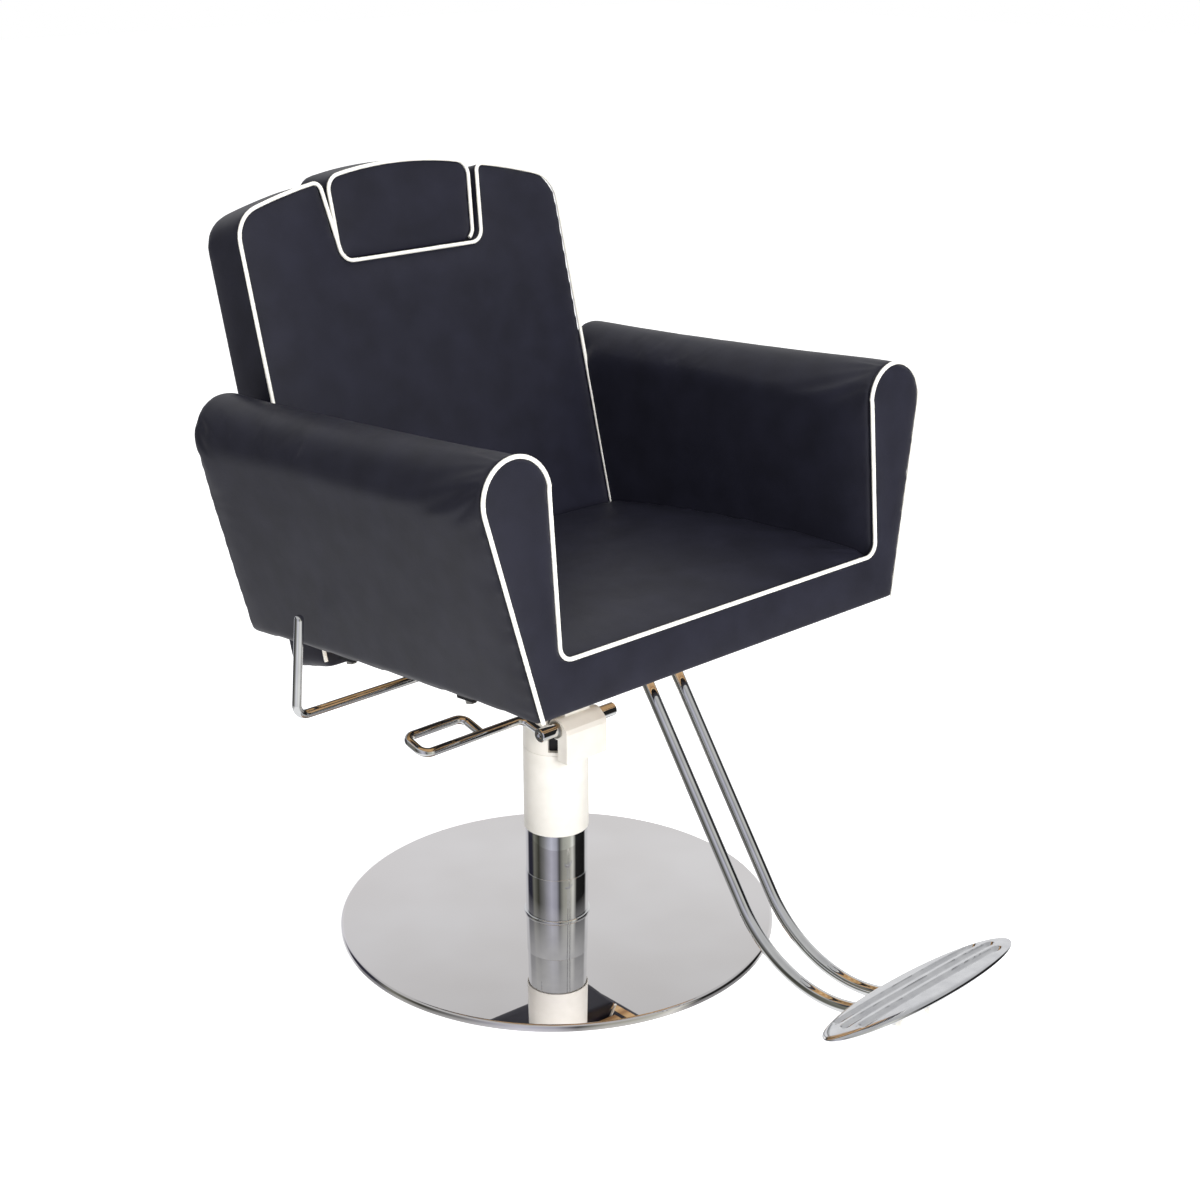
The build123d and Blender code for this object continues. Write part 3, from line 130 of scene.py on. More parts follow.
def noise(tree, place, size_mm, detail=2.0, roughness=0.5, stretch=None):
    """Noise whose blobs are about size_mm across, optionally stretched along the axes."""
    if stretch:
        place = add_node(
            tree, "ShaderNodeMapping", {"Vector": place, "Scale": stretch}, vector_type="POINT"
        ).outputs["Vector"]
    return add_node(
        tree,
        "ShaderNodeTexNoise",
        {"Vector": place, "Scale": 1000 / size_mm, "Detail": detail, "Roughness": roughness},
    ).outputs["Fac"]


def spread(tree, value, low, high):
    """Maps a 0 to 1 pattern to the range from low to high."""
    return add_node(
        tree, "ShaderNodeMapRange", {"Value": value, "To Min": low, "To Max": high}
    ).outputs["Result"]


def bump(tree, height, distance_mm, strength, under=None):
    """Relief of the given depth from a height pattern, on top of another relief."""
    links = {"Height": height, "Distance": distance_mm * MM, "Strength": strength}
    if under:
        links["Normal"] = under
    return add_node(tree, "ShaderNodeBump", links).outputs["Normal"]


def leatherette():
    """Navy-black polyurethane-coated fabric, embossed with a fine grain and stretched over foam."""
    material, tree, place, shader = start_material("leatherette")
    # the real grain is 0.4 mm across; 1.6 mm is the finest that still shows
    pebbles = add_node(
        tree,
        "ShaderNodeTexVoronoi",
        {"Vector": place, "Scale": 1000 / 1.6, "Smoothness": 0.6},
        feature="SMOOTH_F1",
    ).outputs["Distance"]
    stretch_marks = noise(tree, place, 9, 3)
    foam_waves = noise(tree, place, 70, 1)
    tone = ramp(tree, noise(tree, place, 45, 3), [(0.3, paint("#1e1e27")), (0.7, paint("#24242f"))])
    tree.links.new(tone, shader.inputs["Base Color"])
    worn = spread(tree, noise(tree, place, 25, 4), 0.42, 0.52)
    tree.links.new(worn, shader.inputs["Roughness"])
    shader.inputs["IOR"].default_value = 1.5
    shader.inputs["Specular IOR Level"].default_value = 0.45
    relief = bump(tree, foam_waves, 3.0, 0.25)
    relief = bump(tree, stretch_marks, 0.25, 0.25, relief)
    relief = bump(tree, pebbles, 0.18, 0.35, relief)
    tree.links.new(relief, shader.inputs["Normal"])
    return material


def piping_vinyl():
    """Warm white soft vinyl cord cover: smooth and slightly glossy, the cord just felt under it."""
    material, tree, place, shader = start_material("piping_vinyl")
    tone = ramp(tree, noise(tree, place, 18, 3), [(0.3, paint("#f4f1e4")), (0.7, paint("#fdfbf2"))])
    tree.links.new(tone, shader.inputs["Base Color"])
    tree.links.new(spread(tree, noise(tree, place, 6), 0.32, 0.42), shader.inputs["Roughness"])
    relief = bump(tree, noise(tree, place, 4, 1), 0.2, 0.3)
    tree.links.new(relief, shader.inputs["Normal"])
    return material


def mirror_steel():
    """Mirror-polished stainless sheet: a clear, slightly warm reflection with circular haze."""
    material, tree, place, shader = start_material("mirror_polished_stainless")
    shader.inputs["Metallic"].default_value = 1.0
    tints = [(0.3, paint("#e4e1e1")), (0.7, paint("#ebe9ea"))]
    tone = ramp(tree, noise(tree, place, 160, 2), tints)
    tree.links.new(tone, shader.inputs["Base Color"])
    rings = add_node(
        tree,
        "ShaderNodeTexWave",
        {"Vector": place, "Scale": 1000 / 2.5, "Distortion": 2.0, "Detail": 3.0},
        wave_type="RINGS",
        rings_direction="Z",
    ).outputs["Fac"]
    haze = add_node(
        tree,
        "ShaderNodeMix",
        {"Factor": 0.3, "A": noise(tree, place, 40, 4), "B": rings},
    ).outputs["Result"]
    tree.links.new(spread(tree, haze, 0.0, 0.012), shader.inputs["Roughness"])
    relief = bump(tree, noise(tree, place, 120, 1), 0.15, 0.12)
    tree.links.new(relief, shader.inputs["Normal"])
    return material


def chrome():
    """Bright nickel-chrome plating on polished steel tube, with faint handling marks."""
    material, tree, place, shader = start_material("chrome_plate")
    shader.inputs["Metallic"].default_value = 1.0
    tone = ramp(tree, noise(tree, place, 30, 2), [(0.3, paint("#dfe0e2")), (0.7, paint("#eceded"))])
    tree.links.new(tone, shader.inputs["Base Color"])
    marks = noise(tree, place, 12, 5, 0.65)
    tree.links.new(spread(tree, marks, 0.01, 0.04), shader.inputs["Roughness"])
    relief = bump(tree, noise(tree, place, 20, 2), 0.05, 0.15)
    tree.links.new(relief, shader.inputs["Normal"])
    return material


def polished_aluminium():
    """Die-cast aluminium buffed to a shine: soft ripples, fine buffing lines along its length."""
    material, tree, place, shader = start_material("buffed_cast_aluminium")
    shader.inputs["Metallic"].default_value = 1.0
    tone = ramp(tree, noise(tree, place, 22, 3), [(0.3, paint("#dcdde1")), (0.7, paint("#ecedf0"))])
    tree.links.new(tone, shader.inputs["Base Color"])
    buffing = noise(tree, place, 1.2, 2, 0.6, stretch=(0.05, 1, 1))
    tree.links.new(spread(tree, buffing, 0.06, 0.14), shader.inputs["Roughness"])
    relief = bump(tree, noise(tree, place, 16, 2), 0.2, 0.2)
    tree.links.new(bump(tree, buffing, 0.02, 0.2, relief), shader.inputs["Normal"])
    return material


def stove_enamel(name, dark, light, peel_mm, rough_low, rough_high, coat):
    """Sprayed and baked paint: an even colour with an orange-peel surface under a thin gloss."""
    material, tree, place, shader = start_material(name)
    tone = ramp(tree, noise(tree, place, 30, 3), [(0.3, paint(dark)), (0.7, paint(light))])
    tree.links.new(tone, shader.inputs["Base Color"])
    tree.links.new(
        spread(tree, noise(tree, place, 14, 3), rough_low, rough_high), shader.inputs["Roughness"]
    )
    shader.inputs["Coat Weight"].default_value = coat
    shader.inputs["Coat Roughness"].default_value = 0.12
    relief = bump(tree, noise(tree, place, peel_mm, 2), 0.08, 0.3)
    tree.links.new(relief, shader.inputs["Normal"])
    return material


def bare_metal(name, dark, light, rough_low, rough_high):
    """Turned or plated metal, not polished: satin, with fine tool marks around it."""
    material, tree, place, shader = start_material(name)
    shader.inputs["Metallic"].default_value = 1.0
    tone = ramp(tree, noise(tree, place, 8, 4), [(0.3, paint(dark)), (0.7, paint(light))])
    tree.links.new(tone, shader.inputs["Base Color"])
    marks = noise(tree, place, 1.0, 3, 0.6, stretch=(1, 1, 0.15))
    tree.links.new(spread(tree, marks, rough_low, rough_high), shader.inputs["Roughness"])
    tree.links.new(bump(tree, marks, 0.03, 0.4), shader.inputs["Normal"])
    return material


def moulded(name, dark, light, grain_mm, rough_low, rough_high):
    """Moulded rubber or plastic: even colour, a fine matt grain from the mould."""
    material, tree, place, shader = start_material(name)
    tone = ramp(tree, noise(tree, place, 20, 3), [(0.3, paint(dark)), (0.7, paint(light))])
    tree.links.new(tone, shader.inputs["Base Color"])
    grain = noise(tree, place, grain_mm, 3, 0.6)
    tree.links.new(spread(tree, grain, rough_low, rough_high), shader.inputs["Roughness"])
    tree.links.new(bump(tree, grain, 0.1, 0.4), shader.inputs["Normal"])
    return material


def birch_plywood():
    """Birch plywood: 1.5 mm veneers on edge, long pale grain on the faces."""
    material, tree, place, shader = start_material("birch_plywood")
    plies = add_node(
        tree,
        "ShaderNodeTexWave",
        {"Vector": place, "Scale": 1000 / 9.4, "Distortion": 0.6, "Detail": 2.0},
        bands_direction="Z",
    ).outputs["Fac"]
    grain = noise(tree, place, 5, 5, 0.6, stretch=(0.08, 1, 1))
    mix = add_node(tree, "ShaderNodeMix", {"Factor": 0.6, "A": plies, "B": grain})
    woods = [(0.25, paint("#9a7247")), (0.6, paint("#c49e6c")), (0.9, paint("#d9ba8b"))]
    tone = ramp(tree, mix.outputs["Result"], woods)
    tree.links.new(tone, shader.inputs["Base Color"])
    tree.links.new(spread(tree, grain, 0.55, 0.75), shader.inputs["Roughness"])
    tree.links.new(bump(tree, grain, 0.2, 0.3), shader.inputs["Normal"])
    return material


FINISHES = {
    "leatherette": leatherette(),
    "white_piping": piping_vinyl(),
    "mirror_steel": mirror_steel(),
    "chrome": chrome(),
    "polished_aluminium": polished_aluminium(),
    "cream_paint": stove_enamel("cream_enamel", "#e5e1d7", "#ece9df", 2.2, 0.30, 0.40, 0.4),
    "cream_plastic": moulded("cream_abs", "#e9e6dc", "#f0ede4", 1.4, 0.26, 0.34),
    "black_steel": stove_enamel("black_powder_coat", "#141518", "#1c1d20", 1.2, 0.45, 0.60, 0.0),
    "zinc_steel": bare_metal("zinc_plated_steel", "#a8a69e", "#c4c2ba", 0.28, 0.42),
    "rubber": moulded("black_rubber", "#121212", "#1b1b1b", 1.0, 0.75, 0.90),
    "nylon": moulded("black_nylon", "#161618", "#1e1e20", 0.8, 0.45, 0.60),
    "bronze": bare_metal("sintered_bronze", "#8a6a3c", "#a98650", 0.32, 0.48),
    "plywood": birch_plywood(),
}

# every CAD node that stays takes the finish of its slot
for part in frame["record"]["subparts"]:
    mesh = frame["nodes"][part["node"]].data
    mesh.materials.clear()
    mesh.materials.append(FINISHES[part["material_slot"]])


# ---- places: the seat shell's tilted axes and the backrest's leaning ones ------------------------
SEAT_TILT = radians(5.0)
BACK_LEAN = radians(15.11)
BACK_FOOT = (178.0, 521.0)


def leaning(angle, origin):
    """A frame whose axes are across, up along a face that leans back by angle, and out in front."""
    up = Vector((0, sin(angle), cos(angle)))
    out = Vector((0, -cos(angle), sin(angle)))
    turned = Matrix((Vector((1, 0, 0)), up, out)).transposed().to_4x4()
    return Matrix.Translation(Vector(origin) * MM) @ turned


def in_seat(depth):
    """The frame square to the seat's depth, at that depth: across, height, towards the front."""
    return leaning(SEAT_TILT, (0, depth * cos(SEAT_TILT), -depth * sin(SEAT_TILT)))


def in_back(forward):
    """The frame in the backrest's front face, moved forward by that much."""
    y = BACK_FOOT[0] - forward * cos(BACK_LEAN)
    z = BACK_FOOT[1] + forward * sin(BACK_LEAN)
    return leaning(BACK_LEAN, (0, y, z))


def seat_side(x):
    """The frame of an upright slice through the seat at x: depth, height, towards +X."""
    depth = Vector((0, cos(SEAT_TILT), -sin(SEAT_TILT)))
    height = Vector((0, sin(SEAT_TILT), cos(SEAT_TILT)))
    turned = Matrix((depth, height, Vector((1, 0, 0)))).transposed().to_4x4()
    return Matrix.Translation((x * MM, 0, 0)) @ turned


# ---- outlines, in millimetres --------------------------------------------------------------------
def arc(centre, radius, start, end, steps):
    """Points on an arc from start to end degrees, both ends included."""
    angles = [radians(start + (end - start) * i / steps) for i in range(steps + 1)]
    return [(centre[0] + radius * cos(a), centre[1] + radius * sin(a)) for a in angles]


def rounded(corners, closed=True, step=9):
    """Points along a line through corners of (x, y, radius), each rounded to its radius."""
    points = []
    last = len(corners) - 1
    for i, (x, y, radius) in enumerate(corners):
        if radius == 0 or (not closed and i in (0, last)):
            points.append((x, y))
            continue
        here = Vector((x, y))
        before = (Vector(corners[i - 1][:2]) - here).normalized()
        after = (Vector(corners[(i + 1) % len(corners)][:2]) - here).normalized()
        half = before.angle(after) / 2
        centre = here + (before + after).normalized() * radius / sin(half)
        start = here + before * radius / tan(half) - centre
        turn = -start.angle_signed(here + after * radius / tan(half) - centre)
        steps = max(3, round(abs(turn) / radians(step)))
        for i_step in range(steps + 1):
            angle = turn * i_step / steps
            spoke = Matrix.Rotation(angle, 2) @ start
            points.append(tuple(centre + spoke))
    return points


def crown(top, radius, half, steps):
    """Corner points along an arched top, from +half to -half across."""
    spread_angle = asin(half / radius)
    angles = [spread_angle * (1 - 2 * i / steps) for i in range(steps + 1)]
    return [(radius * sin(a), top - radius + radius * cos(a), 0) for a in angles]


ARM_INNER = 267.0
ARM_FOOT = 302.0
ARM_ROUND = 48.0
ARM_ROUND_HEIGHT = 713.0
SHELL_BOTTOM = 454.0
SHELL_FRONT = -360.0
SEAT_PIPE_HEIGHT = 518.6
SEAT_CORNER = 15.0
PIPE = 2.55
arm_middle = ARM_INNER + ARM_ROUND
flare = atan((arm_middle - ARM_FOOT) / (ARM_ROUND_HEIGHT - SHELL_BOTTOM)) + asin(
    ARM_ROUND / hypot(arm_middle - ARM_FOOT, ARM_ROUND_HEIGHT - SHELL_BOTTOM)
)


def arm_over(inset):
    """The arm's front outline, set in: from its foot up the flared side and over the round top."""
    foot = (ARM_FOOT - inset, SHELL_BOTTOM + inset)
    flare_degrees = -flare * 180 / pi
    return [foot] + arc(
        (arm_middle, ARM_ROUND_HEIGHT), ARM_ROUND - inset, flare_degrees, 180, 22
    )


BACK_HALF = 266.0
BACK_TOP = 501.0
BACK_TOP_RADIUS = 850.0
BACK_CORNER = 45
BACK_FOOT_CORNER = 12
BACK_BOTTOM = -125.3
NOTCH_BOTTOM = 385.3
NOTCH_HALF = 115
NOTCH_CORNER = 18
NOTCH_LIP = (129.7, 491.0, 12)
ARCH_START = 146
ARCH_END = 228


def arch_height(x, top, radius):
    """The height of an arched top at x across."""
    return top - radius + (radius**2 - x**2) ** 0.5


back_shoulder = arch_height(BACK_HALF, BACK_TOP, BACK_TOP_RADIUS)
right_arch = [c for c in crown(BACK_TOP, BACK_TOP_RADIUS, ARCH_END, 26) if c[0] > ARCH_START]
left_arch = [(-x, y, r) for x, y, r in reversed(right_arch)]
back_corners = (
    [
        (-BACK_HALF, BACK_BOTTOM, BACK_FOOT_CORNER),
        (BACK_HALF, BACK_BOTTOM, BACK_FOOT_CORNER),
        (BACK_HALF, back_shoulder, BACK_CORNER),
    ]
    + right_arch
    + [
        NOTCH_LIP,
        (NOTCH_HALF, NOTCH_BOTTOM, NOTCH_CORNER),
        (-NOTCH_HALF, NOTCH_BOTTOM, NOTCH_CORNER),
        (-NOTCH_LIP[0], *NOTCH_LIP[1:]),
    ]
    + left_arch
    + [(-BACK_HALF, back_shoulder, BACK_CORNER)]
)
HEAD_TOP = 506.0
HEAD_TOP_RADIUS = 590.0
HEAD_BOTTOM = 386.8
HEAD_HALF = 112.5
HEAD_CORNER = 18
HEAD_SHOULDER = (118.6, 494.0, 22)
head_corners = [
    (-HEAD_HALF, HEAD_BOTTOM, HEAD_CORNER),
    (HEAD_HALF, HEAD_BOTTOM, HEAD_CORNER),
    HEAD_SHOULDER,
    *crown(HEAD_TOP, HEAD_TOP_RADIUS, 84, 8),
    (-HEAD_SHOULDER[0], *HEAD_SHOULDER[1:]),
]


def inset_line(points, distance, closed=True):
    """Moves a line of points to its left by distance."""
    moved = []
    count = len(points)
    for i, point in enumerate(points):
        before = points[i - 1] if closed or i > 0 else point
        after = points[(i + 1) % count] if closed or i < count - 1 else point
        along = (Vector(after) - Vector(before)).normalized()
        moved.append((point[0] - along.y * distance, point[1] + along.x * distance))
    return moved


# ---- making pieces -------------------------------------------------------------------------------
def only(piece):
    """Deselects everything and selects the piece alone."""
    if bpy.context.object and bpy.context.object.mode != "OBJECT":
        bpy.ops.object.mode_set(mode="OBJECT")
    bpy.ops.object.select_all(action="DESELECT")
    piece.select_set(True)
    bpy.context.view_layer.objects.active = piece


def slab(name, outline, thick, place):
    """A flat piece cut to outline: its face lies in the frame's plane and its body behind it."""
    bpy.ops.object.select_all(action="DESELECT")
    bpy.ops.mesh.primitive_circle_add(vertices=len(outline), radius=1, fill_type="NGON")
    piece = bpy.context.object
    piece.name = name
    for vertex, point in zip(piece.data.vertices, outline):
        vertex.co = (point[0] * MM, point[1] * MM, 0)
    only(piece)
    bpy.ops.object.mode_set(mode="EDIT")
    bpy.ops.mesh.select_all(action="SELECT")
    bpy.ops.mesh.extrude_region_move(TRANSFORM_OT_translate={"value": (0, 0, -thick * MM)})
    bpy.ops.mesh.select_all(action="SELECT")
    bpy.ops.mesh.normals_make_consistent(inside=False)
    bpy.ops.object.mode_set(mode="OBJECT")
    piece.data.transform(place)
    piece.data.update()
    return piece


def ease_edges(piece, test, width_mm, segments=4):
    """Rounds the edges of a slab whose both ends pass the test."""
    only(piece)
    for part in (piece.data.vertices, piece.data.edges, piece.data.polygons):
        part.foreach_set("select", [False] * len(part))
    for edge in piece.data.edges:
        edge.select = all(test(piece.data.vertices[v].co) for v in edge.vertices)
    bpy.ops.object.mode_set(mode="EDIT")
    bpy.ops.mesh.select_mode(type="EDGE")
    bpy.ops.mesh.bevel(offset=width_mm * MM, segments=segments, profile=0.5, clamp_overlap=True)
    bpy.ops.object.mode_set(mode="OBJECT")


def apply(piece, kind, **settings):
    """Adds a modifier with its settings and applies it."""
    only(piece)
    modifier = piece.modifiers.new(kind.lower(), kind)
    for key, value in settings.items():
        setattr(modifier, key, value)
    bpy.ops.object.modifier_apply(modifier=modifier.name)


def placed(points, place):
    """Points of an outline as places in the chair's frame."""
    return [place @ Vector((x * MM, y * MM, 0)) for x, y in points]


def filled_in(line, step=0.002, closed=True):
    """Points no further apart than step along a line of places."""
    filled = []
    ends = zip(line, line[1:] + line[:1]) if closed else zip(line, line[1:])
    for start, end in ends:
        count = max(1, int((end - start).length / step))
        filled += [start.lerp(end, i / count) for i in range(count)]
    return filled


def near(points):
    """A search tree over places."""
    tree = kdtree.KDTree(len(points))
    for i, point in enumerate(points):
        tree.insert(point, i)
    tree.balance()
    return tree


PRESSURE = 4.0
CLOTH_FRAMES = 20
pads = []


def stuffed(piece, seams, swell_mm, voxel_mm=5.0, smooth=6, hold_mm=5.0):
    """Turns a slab into a padded piece: remeshed, held along its seams, ready to be inflated."""
    apply(piece, "REMESH", mode="VOXEL", voxel_size=voxel_mm * MM)
    apply(piece, "SMOOTH", factor=0.5, iterations=smooth)
    held = near(seams)
    sewn = piece.vertex_groups.new(name="sewn")
    for vertex in piece.data.vertices:
        distance = held.find(vertex.co)[2]
        if distance < hold_mm * MM:
            sewn.add([vertex.index], 1.0, "REPLACE")
    pads.append((piece, swell_mm, held))
    return piece


def inflate():
    """Blows all the pads up together against their seams, with each point's travel capped."""
    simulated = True
    starts = {}
    for piece, swell_mm, held in pads:
        starts[piece.name] = [v.co.copy() for v in piece.data.vertices]
        if not simulated:
            continue
        cloth = piece.modifiers.new("cloth", "CLOTH")
        cloth.settings.quality = 4
        cloth.settings.mass = 0.3
        cloth.settings.tension_stiffness = 8
        cloth.settings.compression_stiffness = 8
        cloth.settings.shear_stiffness = 4
        cloth.settings.bending_stiffness = 0.4
        cloth.settings.use_pressure = True
        cloth.settings.uniform_pressure_force = PRESSURE
        cloth.settings.effector_weights.gravity = 0
        cloth.settings.vertex_group_mass = "sewn"
        cloth.point_cache.frame_start = 1
        cloth.point_cache.frame_end = CLOTH_FRAMES
    if simulated:
        for step in range(1, CLOTH_FRAMES + 1):
            bpy.context.scene.frame_set(step)
    for piece, swell_mm, held in pads:
        cap = swell_mm * MM
        before = starts[piece.name]
        if simulated:
            only(piece)
            bpy.ops.object.modifier_apply(modifier="cloth")
            for vertex, start in zip(piece.data.vertices, before):
                moved = vertex.co - start
                if moved.length > 1e-9:
                    vertex.co = start + moved.normalized() * cap * tanh(moved.length / cap)
        else:
            normals = [v.normal.copy() for v in piece.data.vertices]
            for vertex, start, normal in zip(piece.data.vertices, before, normals):
                reach = min(1.0, held.find(start)[2] / 0.05)
                vertex.co = start + normal * cap * reach
        piece.data.update()
        piece.vertex_groups.clear()
    bpy.context.scene.frame_set(1)


def sew_groove(piece, seam, depth_mm, width_mm):
    """Pulls the cover in along a seam, in a groove of that depth and width."""
    line = near(seam)
    normals = [v.normal.copy() for v in piece.data.vertices]
    for vertex, normal in zip(piece.data.vertices, normals):
        ratio = line.find(vertex.co)[2] / (width_mm * MM)
        if ratio < 3:
            vertex.co -= normal * depth_mm * MM * exp(-ratio * ratio)
    piece.data.update()


def finish_piece(piece, slot, body, *nodes):
    """Gives the piece its finish, rides it on its body and lets it stand for its CAD nodes."""
    only(piece)
    bpy.ops.object.shade_smooth_by_angle(angle=radians(40))
    piece.data.materials.clear()
    piece.data.materials.append(FINISHES[slot])
    if nodes:
        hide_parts(*nodes)
    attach(piece, body)


def rope(name, line, radius_mm, closed, sides=6):
    """A round cord along a line of places, as a closed mesh."""
    bpy.ops.object.select_all(action="DESELECT")
    bpy.ops.curve.primitive_bezier_curve_add()
    piece = bpy.context.object
    piece.name = name
    piece.data.splines.clear()
    run = piece.data.splines.new("POLY")
    run.points.add(len(line) - 1)
    for point, place in zip(run.points, line):
        point.co = (*place, 1)
    run.use_cyclic_u = closed
    piece.data.dimensions = "3D"
    piece.data.bevel_depth = radius_mm * MM
    piece.data.bevel_resolution = sides
    piece.data.use_fill_caps = not closed
    only(piece)
    bpy.ops.object.convert(target="MESH")
    piece = bpy.context.object
    bpy.ops.object.mode_set(mode="EDIT")
    bpy.ops.mesh.select_all(action="SELECT")
    bpy.ops.mesh.remove_doubles(threshold=1e-6)
    bpy.ops.mesh.normals_make_consistent(inside=False)
    bpy.ops.object.mode_set(mode="OBJECT")
    return piece


# ---- seat cushion --------------------------------------------------------------------------------
back_rise = tan(BACK_LEAN - SEAT_TILT)
foot_depth = BACK_FOOT[0] * cos(SEAT_TILT) - BACK_FOOT[1] * sin(SEAT_TILT)
foot_height = BACK_FOOT[0] * sin(SEAT_TILT) + BACK_FOOT[1] * cos(SEAT_TILT)
SEAT_BACK_GAP = 10.0
BOARD_TOP = 466.0


def back_face_depth(height):
    """The depth of the backrest's front face at a height square to the seat."""
    return foot_depth + back_rise * (height - foot_height)


CUSHION_SIDE = 265.5
CUSHION_FRONT = -357
cushion_profile = [
    (back_face_depth(BOARD_TOP) - SEAT_BACK_GAP, BOARD_TOP),
    (back_face_depth(526) - SEAT_BACK_GAP, 526),
    (60, 531),
    (0, 534),
    (-100, 536),
    (-200, 534),
    (-290, 529),
    (-335, 524),
    (-352, 519),
    (CUSHION_FRONT, 510),
    (CUSHION_FRONT, BOARD_TOP),
]
cushion_profile.reverse()
seat_cushion = slab("seat_pad", cushion_profile, 2 * CUSHION_SIDE, seat_side(CUSHION_SIDE))
seat_seams = []
top_line = [p for p in cushion_profile if p[1] > 505]
for x in (-CUSHION_SIDE, CUSHION_SIDE):
    seat_seams += filled_in(placed(top_line, seat_side(x)), closed=False)
seat_seams += filled_in(
    [
        seat_side(x) @ Vector((CUSHION_FRONT * MM, 514 * MM, 0))
        for x in (-CUSHION_SIDE, CUSHION_SIDE)
    ],
    closed=False,
)
for height in range(466, 500, 6):
    seat_seams += filled_in(
        placed([(-CUSHION_SIDE, height), (CUSHION_SIDE, height)], in_seat(CUSHION_FRONT)),
        closed=False,
    )
stuffed(seat_cushion, seat_seams, 7)

# ---- arms ----------------------------------------------------------------------------------------
ARM_REAR_FOOT = 225.0
ARM_REAR_TOP = 212.0
ARM_REAR_RISE = 14.0
ARM_FRONT = SHELL_FRONT + 4
ARM_WRAP = 3.0
ARM_TALL = ARM_ROUND_HEIGHT + ARM_ROUND - SHELL_BOTTOM
arm_pads = {}
for side, side_name in ((1, "left"), (-1, "right")):
    outline = arm_over(0) + [(ARM_INNER, SHELL_BOTTOM)]
    if side < 0:
        outline = [(-x, y) for x, y in reversed(outline)]
    arm = slab(f"arm_{side_name}", outline, ARM_REAR_FOOT - ARM_FRONT, in_seat(ARM_FRONT))
    to_seat = in_seat(0).inverted()
    from_seat = in_seat(0)
    for vertex in arm.data.vertices:
        local = to_seat @ vertex.co
        if local.z < 0:
            climb = (local.y / MM - SHELL_BOTTOM) / ARM_TALL
            local.z = -(ARM_REAR_FOOT + (ARM_REAR_TOP - ARM_REAR_FOOT) * climb) * MM
            # the padding is thicker towards the rear, so the arm's top is nearly level
            local.y += ARM_REAR_RISE * MM * max(0.0, climb) ** 2
        # the cover wraps under the arm's timber
        if local.y < (SHELL_BOTTOM + 1) * MM:
            local.y -= ARM_WRAP * MM
        vertex.co = from_seat @ local
    ease_edges(arm, lambda p: (to_seat @ p).z < -0.2, 7)
    front_ring = filled_in(placed(outline, in_seat(ARM_FRONT)))
    rear_ring = filled_in(placed(outline, in_seat(ARM_REAR_FOOT - 8)))
    stuffed(arm, front_ring + rear_ring, 4)
    arm_pads[side_name] = arm


# ---- front face: one padded panel across both arm fronts and the apron ---------------------------
def front_outline(inset_outer, inset_inner):
    """The U of the front face: over one arm, along under the seat's front edge, over the other."""
    inner_x = ARM_INNER + inset_inner
    half = arm_over(inset_outer)
    half = [p for p in half if p[0] >= inner_x or p[1] > ARM_ROUND_HEIGHT]
    half[-1] = (inner_x, ARM_ROUND_HEIGHT)
    corner_radius = SEAT_CORNER + inset_inner
    top = SEAT_PIPE_HEIGHT - inset_inner
    corner = arc((inner_x - corner_radius, top + corner_radius), corner_radius, 0, -90, 8)
    right_half = half + corner
    return right_half + [(-x, y) for x, y in reversed(right_half)]


panel_outline = front_outline(1.0, 1.5)
front_panel = slab("front_panel", panel_outline, 10, in_seat(SHELL_FRONT - 2.5))
panel_ring = filled_in(placed(panel_outline, in_seat(SHELL_FRONT - 2.5)))
panel_back = filled_in(placed(panel_outline, in_seat(SHELL_FRONT + 7.5)))
stuffed(front_panel, panel_ring + panel_back, 3.5, voxel_mm=4.0, smooth=3, hold_mm=4.5)

# ---- backrest ------------------------------------------------------------------------------------
BACK_THICK = 86.0
back_outline = rounded(back_corners)
back_pad = slab("back_pad", back_outline, BACK_THICK, in_back(0))
to_back = in_back(0).inverted()
ease_edges(back_pad, lambda p: (to_back @ p).z < -0.08, 12)
back_front_ring = filled_in(placed(back_outline, in_back(-1)))
back_rear_ring = filled_in(placed(inset_line(back_outline, 4), in_back(-BACK_THICK + 4)))
stuffed(back_pad, back_front_ring + back_rear_ring, 6, voxel_mm=6.0, smooth=4, hold_mm=5.0)

# ---- headrest ------------------------------------------------------------------------------------
# its face leans a little further forward than the backrest, about its top edge
HEAD_THICK = 76.0
HEAD_NOD = radians(6.0)
nod_centre = Matrix.Translation((0, HEAD_TOP * MM, 0))
nodding = nod_centre @ Matrix.Rotation(HEAD_NOD, 4, "X") @ nod_centre.inverted()


def in_head(forward):
    """The frame in the headrest's face, moved forward by that much."""
    return in_back(0) @ nodding @ Matrix.Translation((0, 0, forward * MM))


to_head = in_head(0).inverted()
head_outline = rounded(head_corners)
head_pad = slab("headrest_cushion", head_outline, HEAD_THICK, in_head(0))
ease_edges(head_pad, lambda p: (to_head @ p).z < -0.07, 14)
ease_edges(
    head_pad,
    lambda p: (to_head @ p).z > -0.01 and (to_head @ p).y < (HEAD_BOTTOM + 1) * MM,
    9,
)
head_ring = filled_in(placed(head_outline, in_head(-1)))
head_rear = filled_in(placed(inset_line(head_outline, 6), in_head(4 - HEAD_THICK)))
stuffed(head_pad, head_ring + head_rear, 9, voxel_mm=4.0, smooth=6, hold_mm=5.0)

inflate()

for piece, swell_mm, held in pads:
    apply(piece, "SUBSURF", levels=1, render_levels=1)

sew_groove(back_pad, back_rear_ring, 1.2, 1.8)
sew_groove(head_pad, head_rear, 1.0, 1.6)

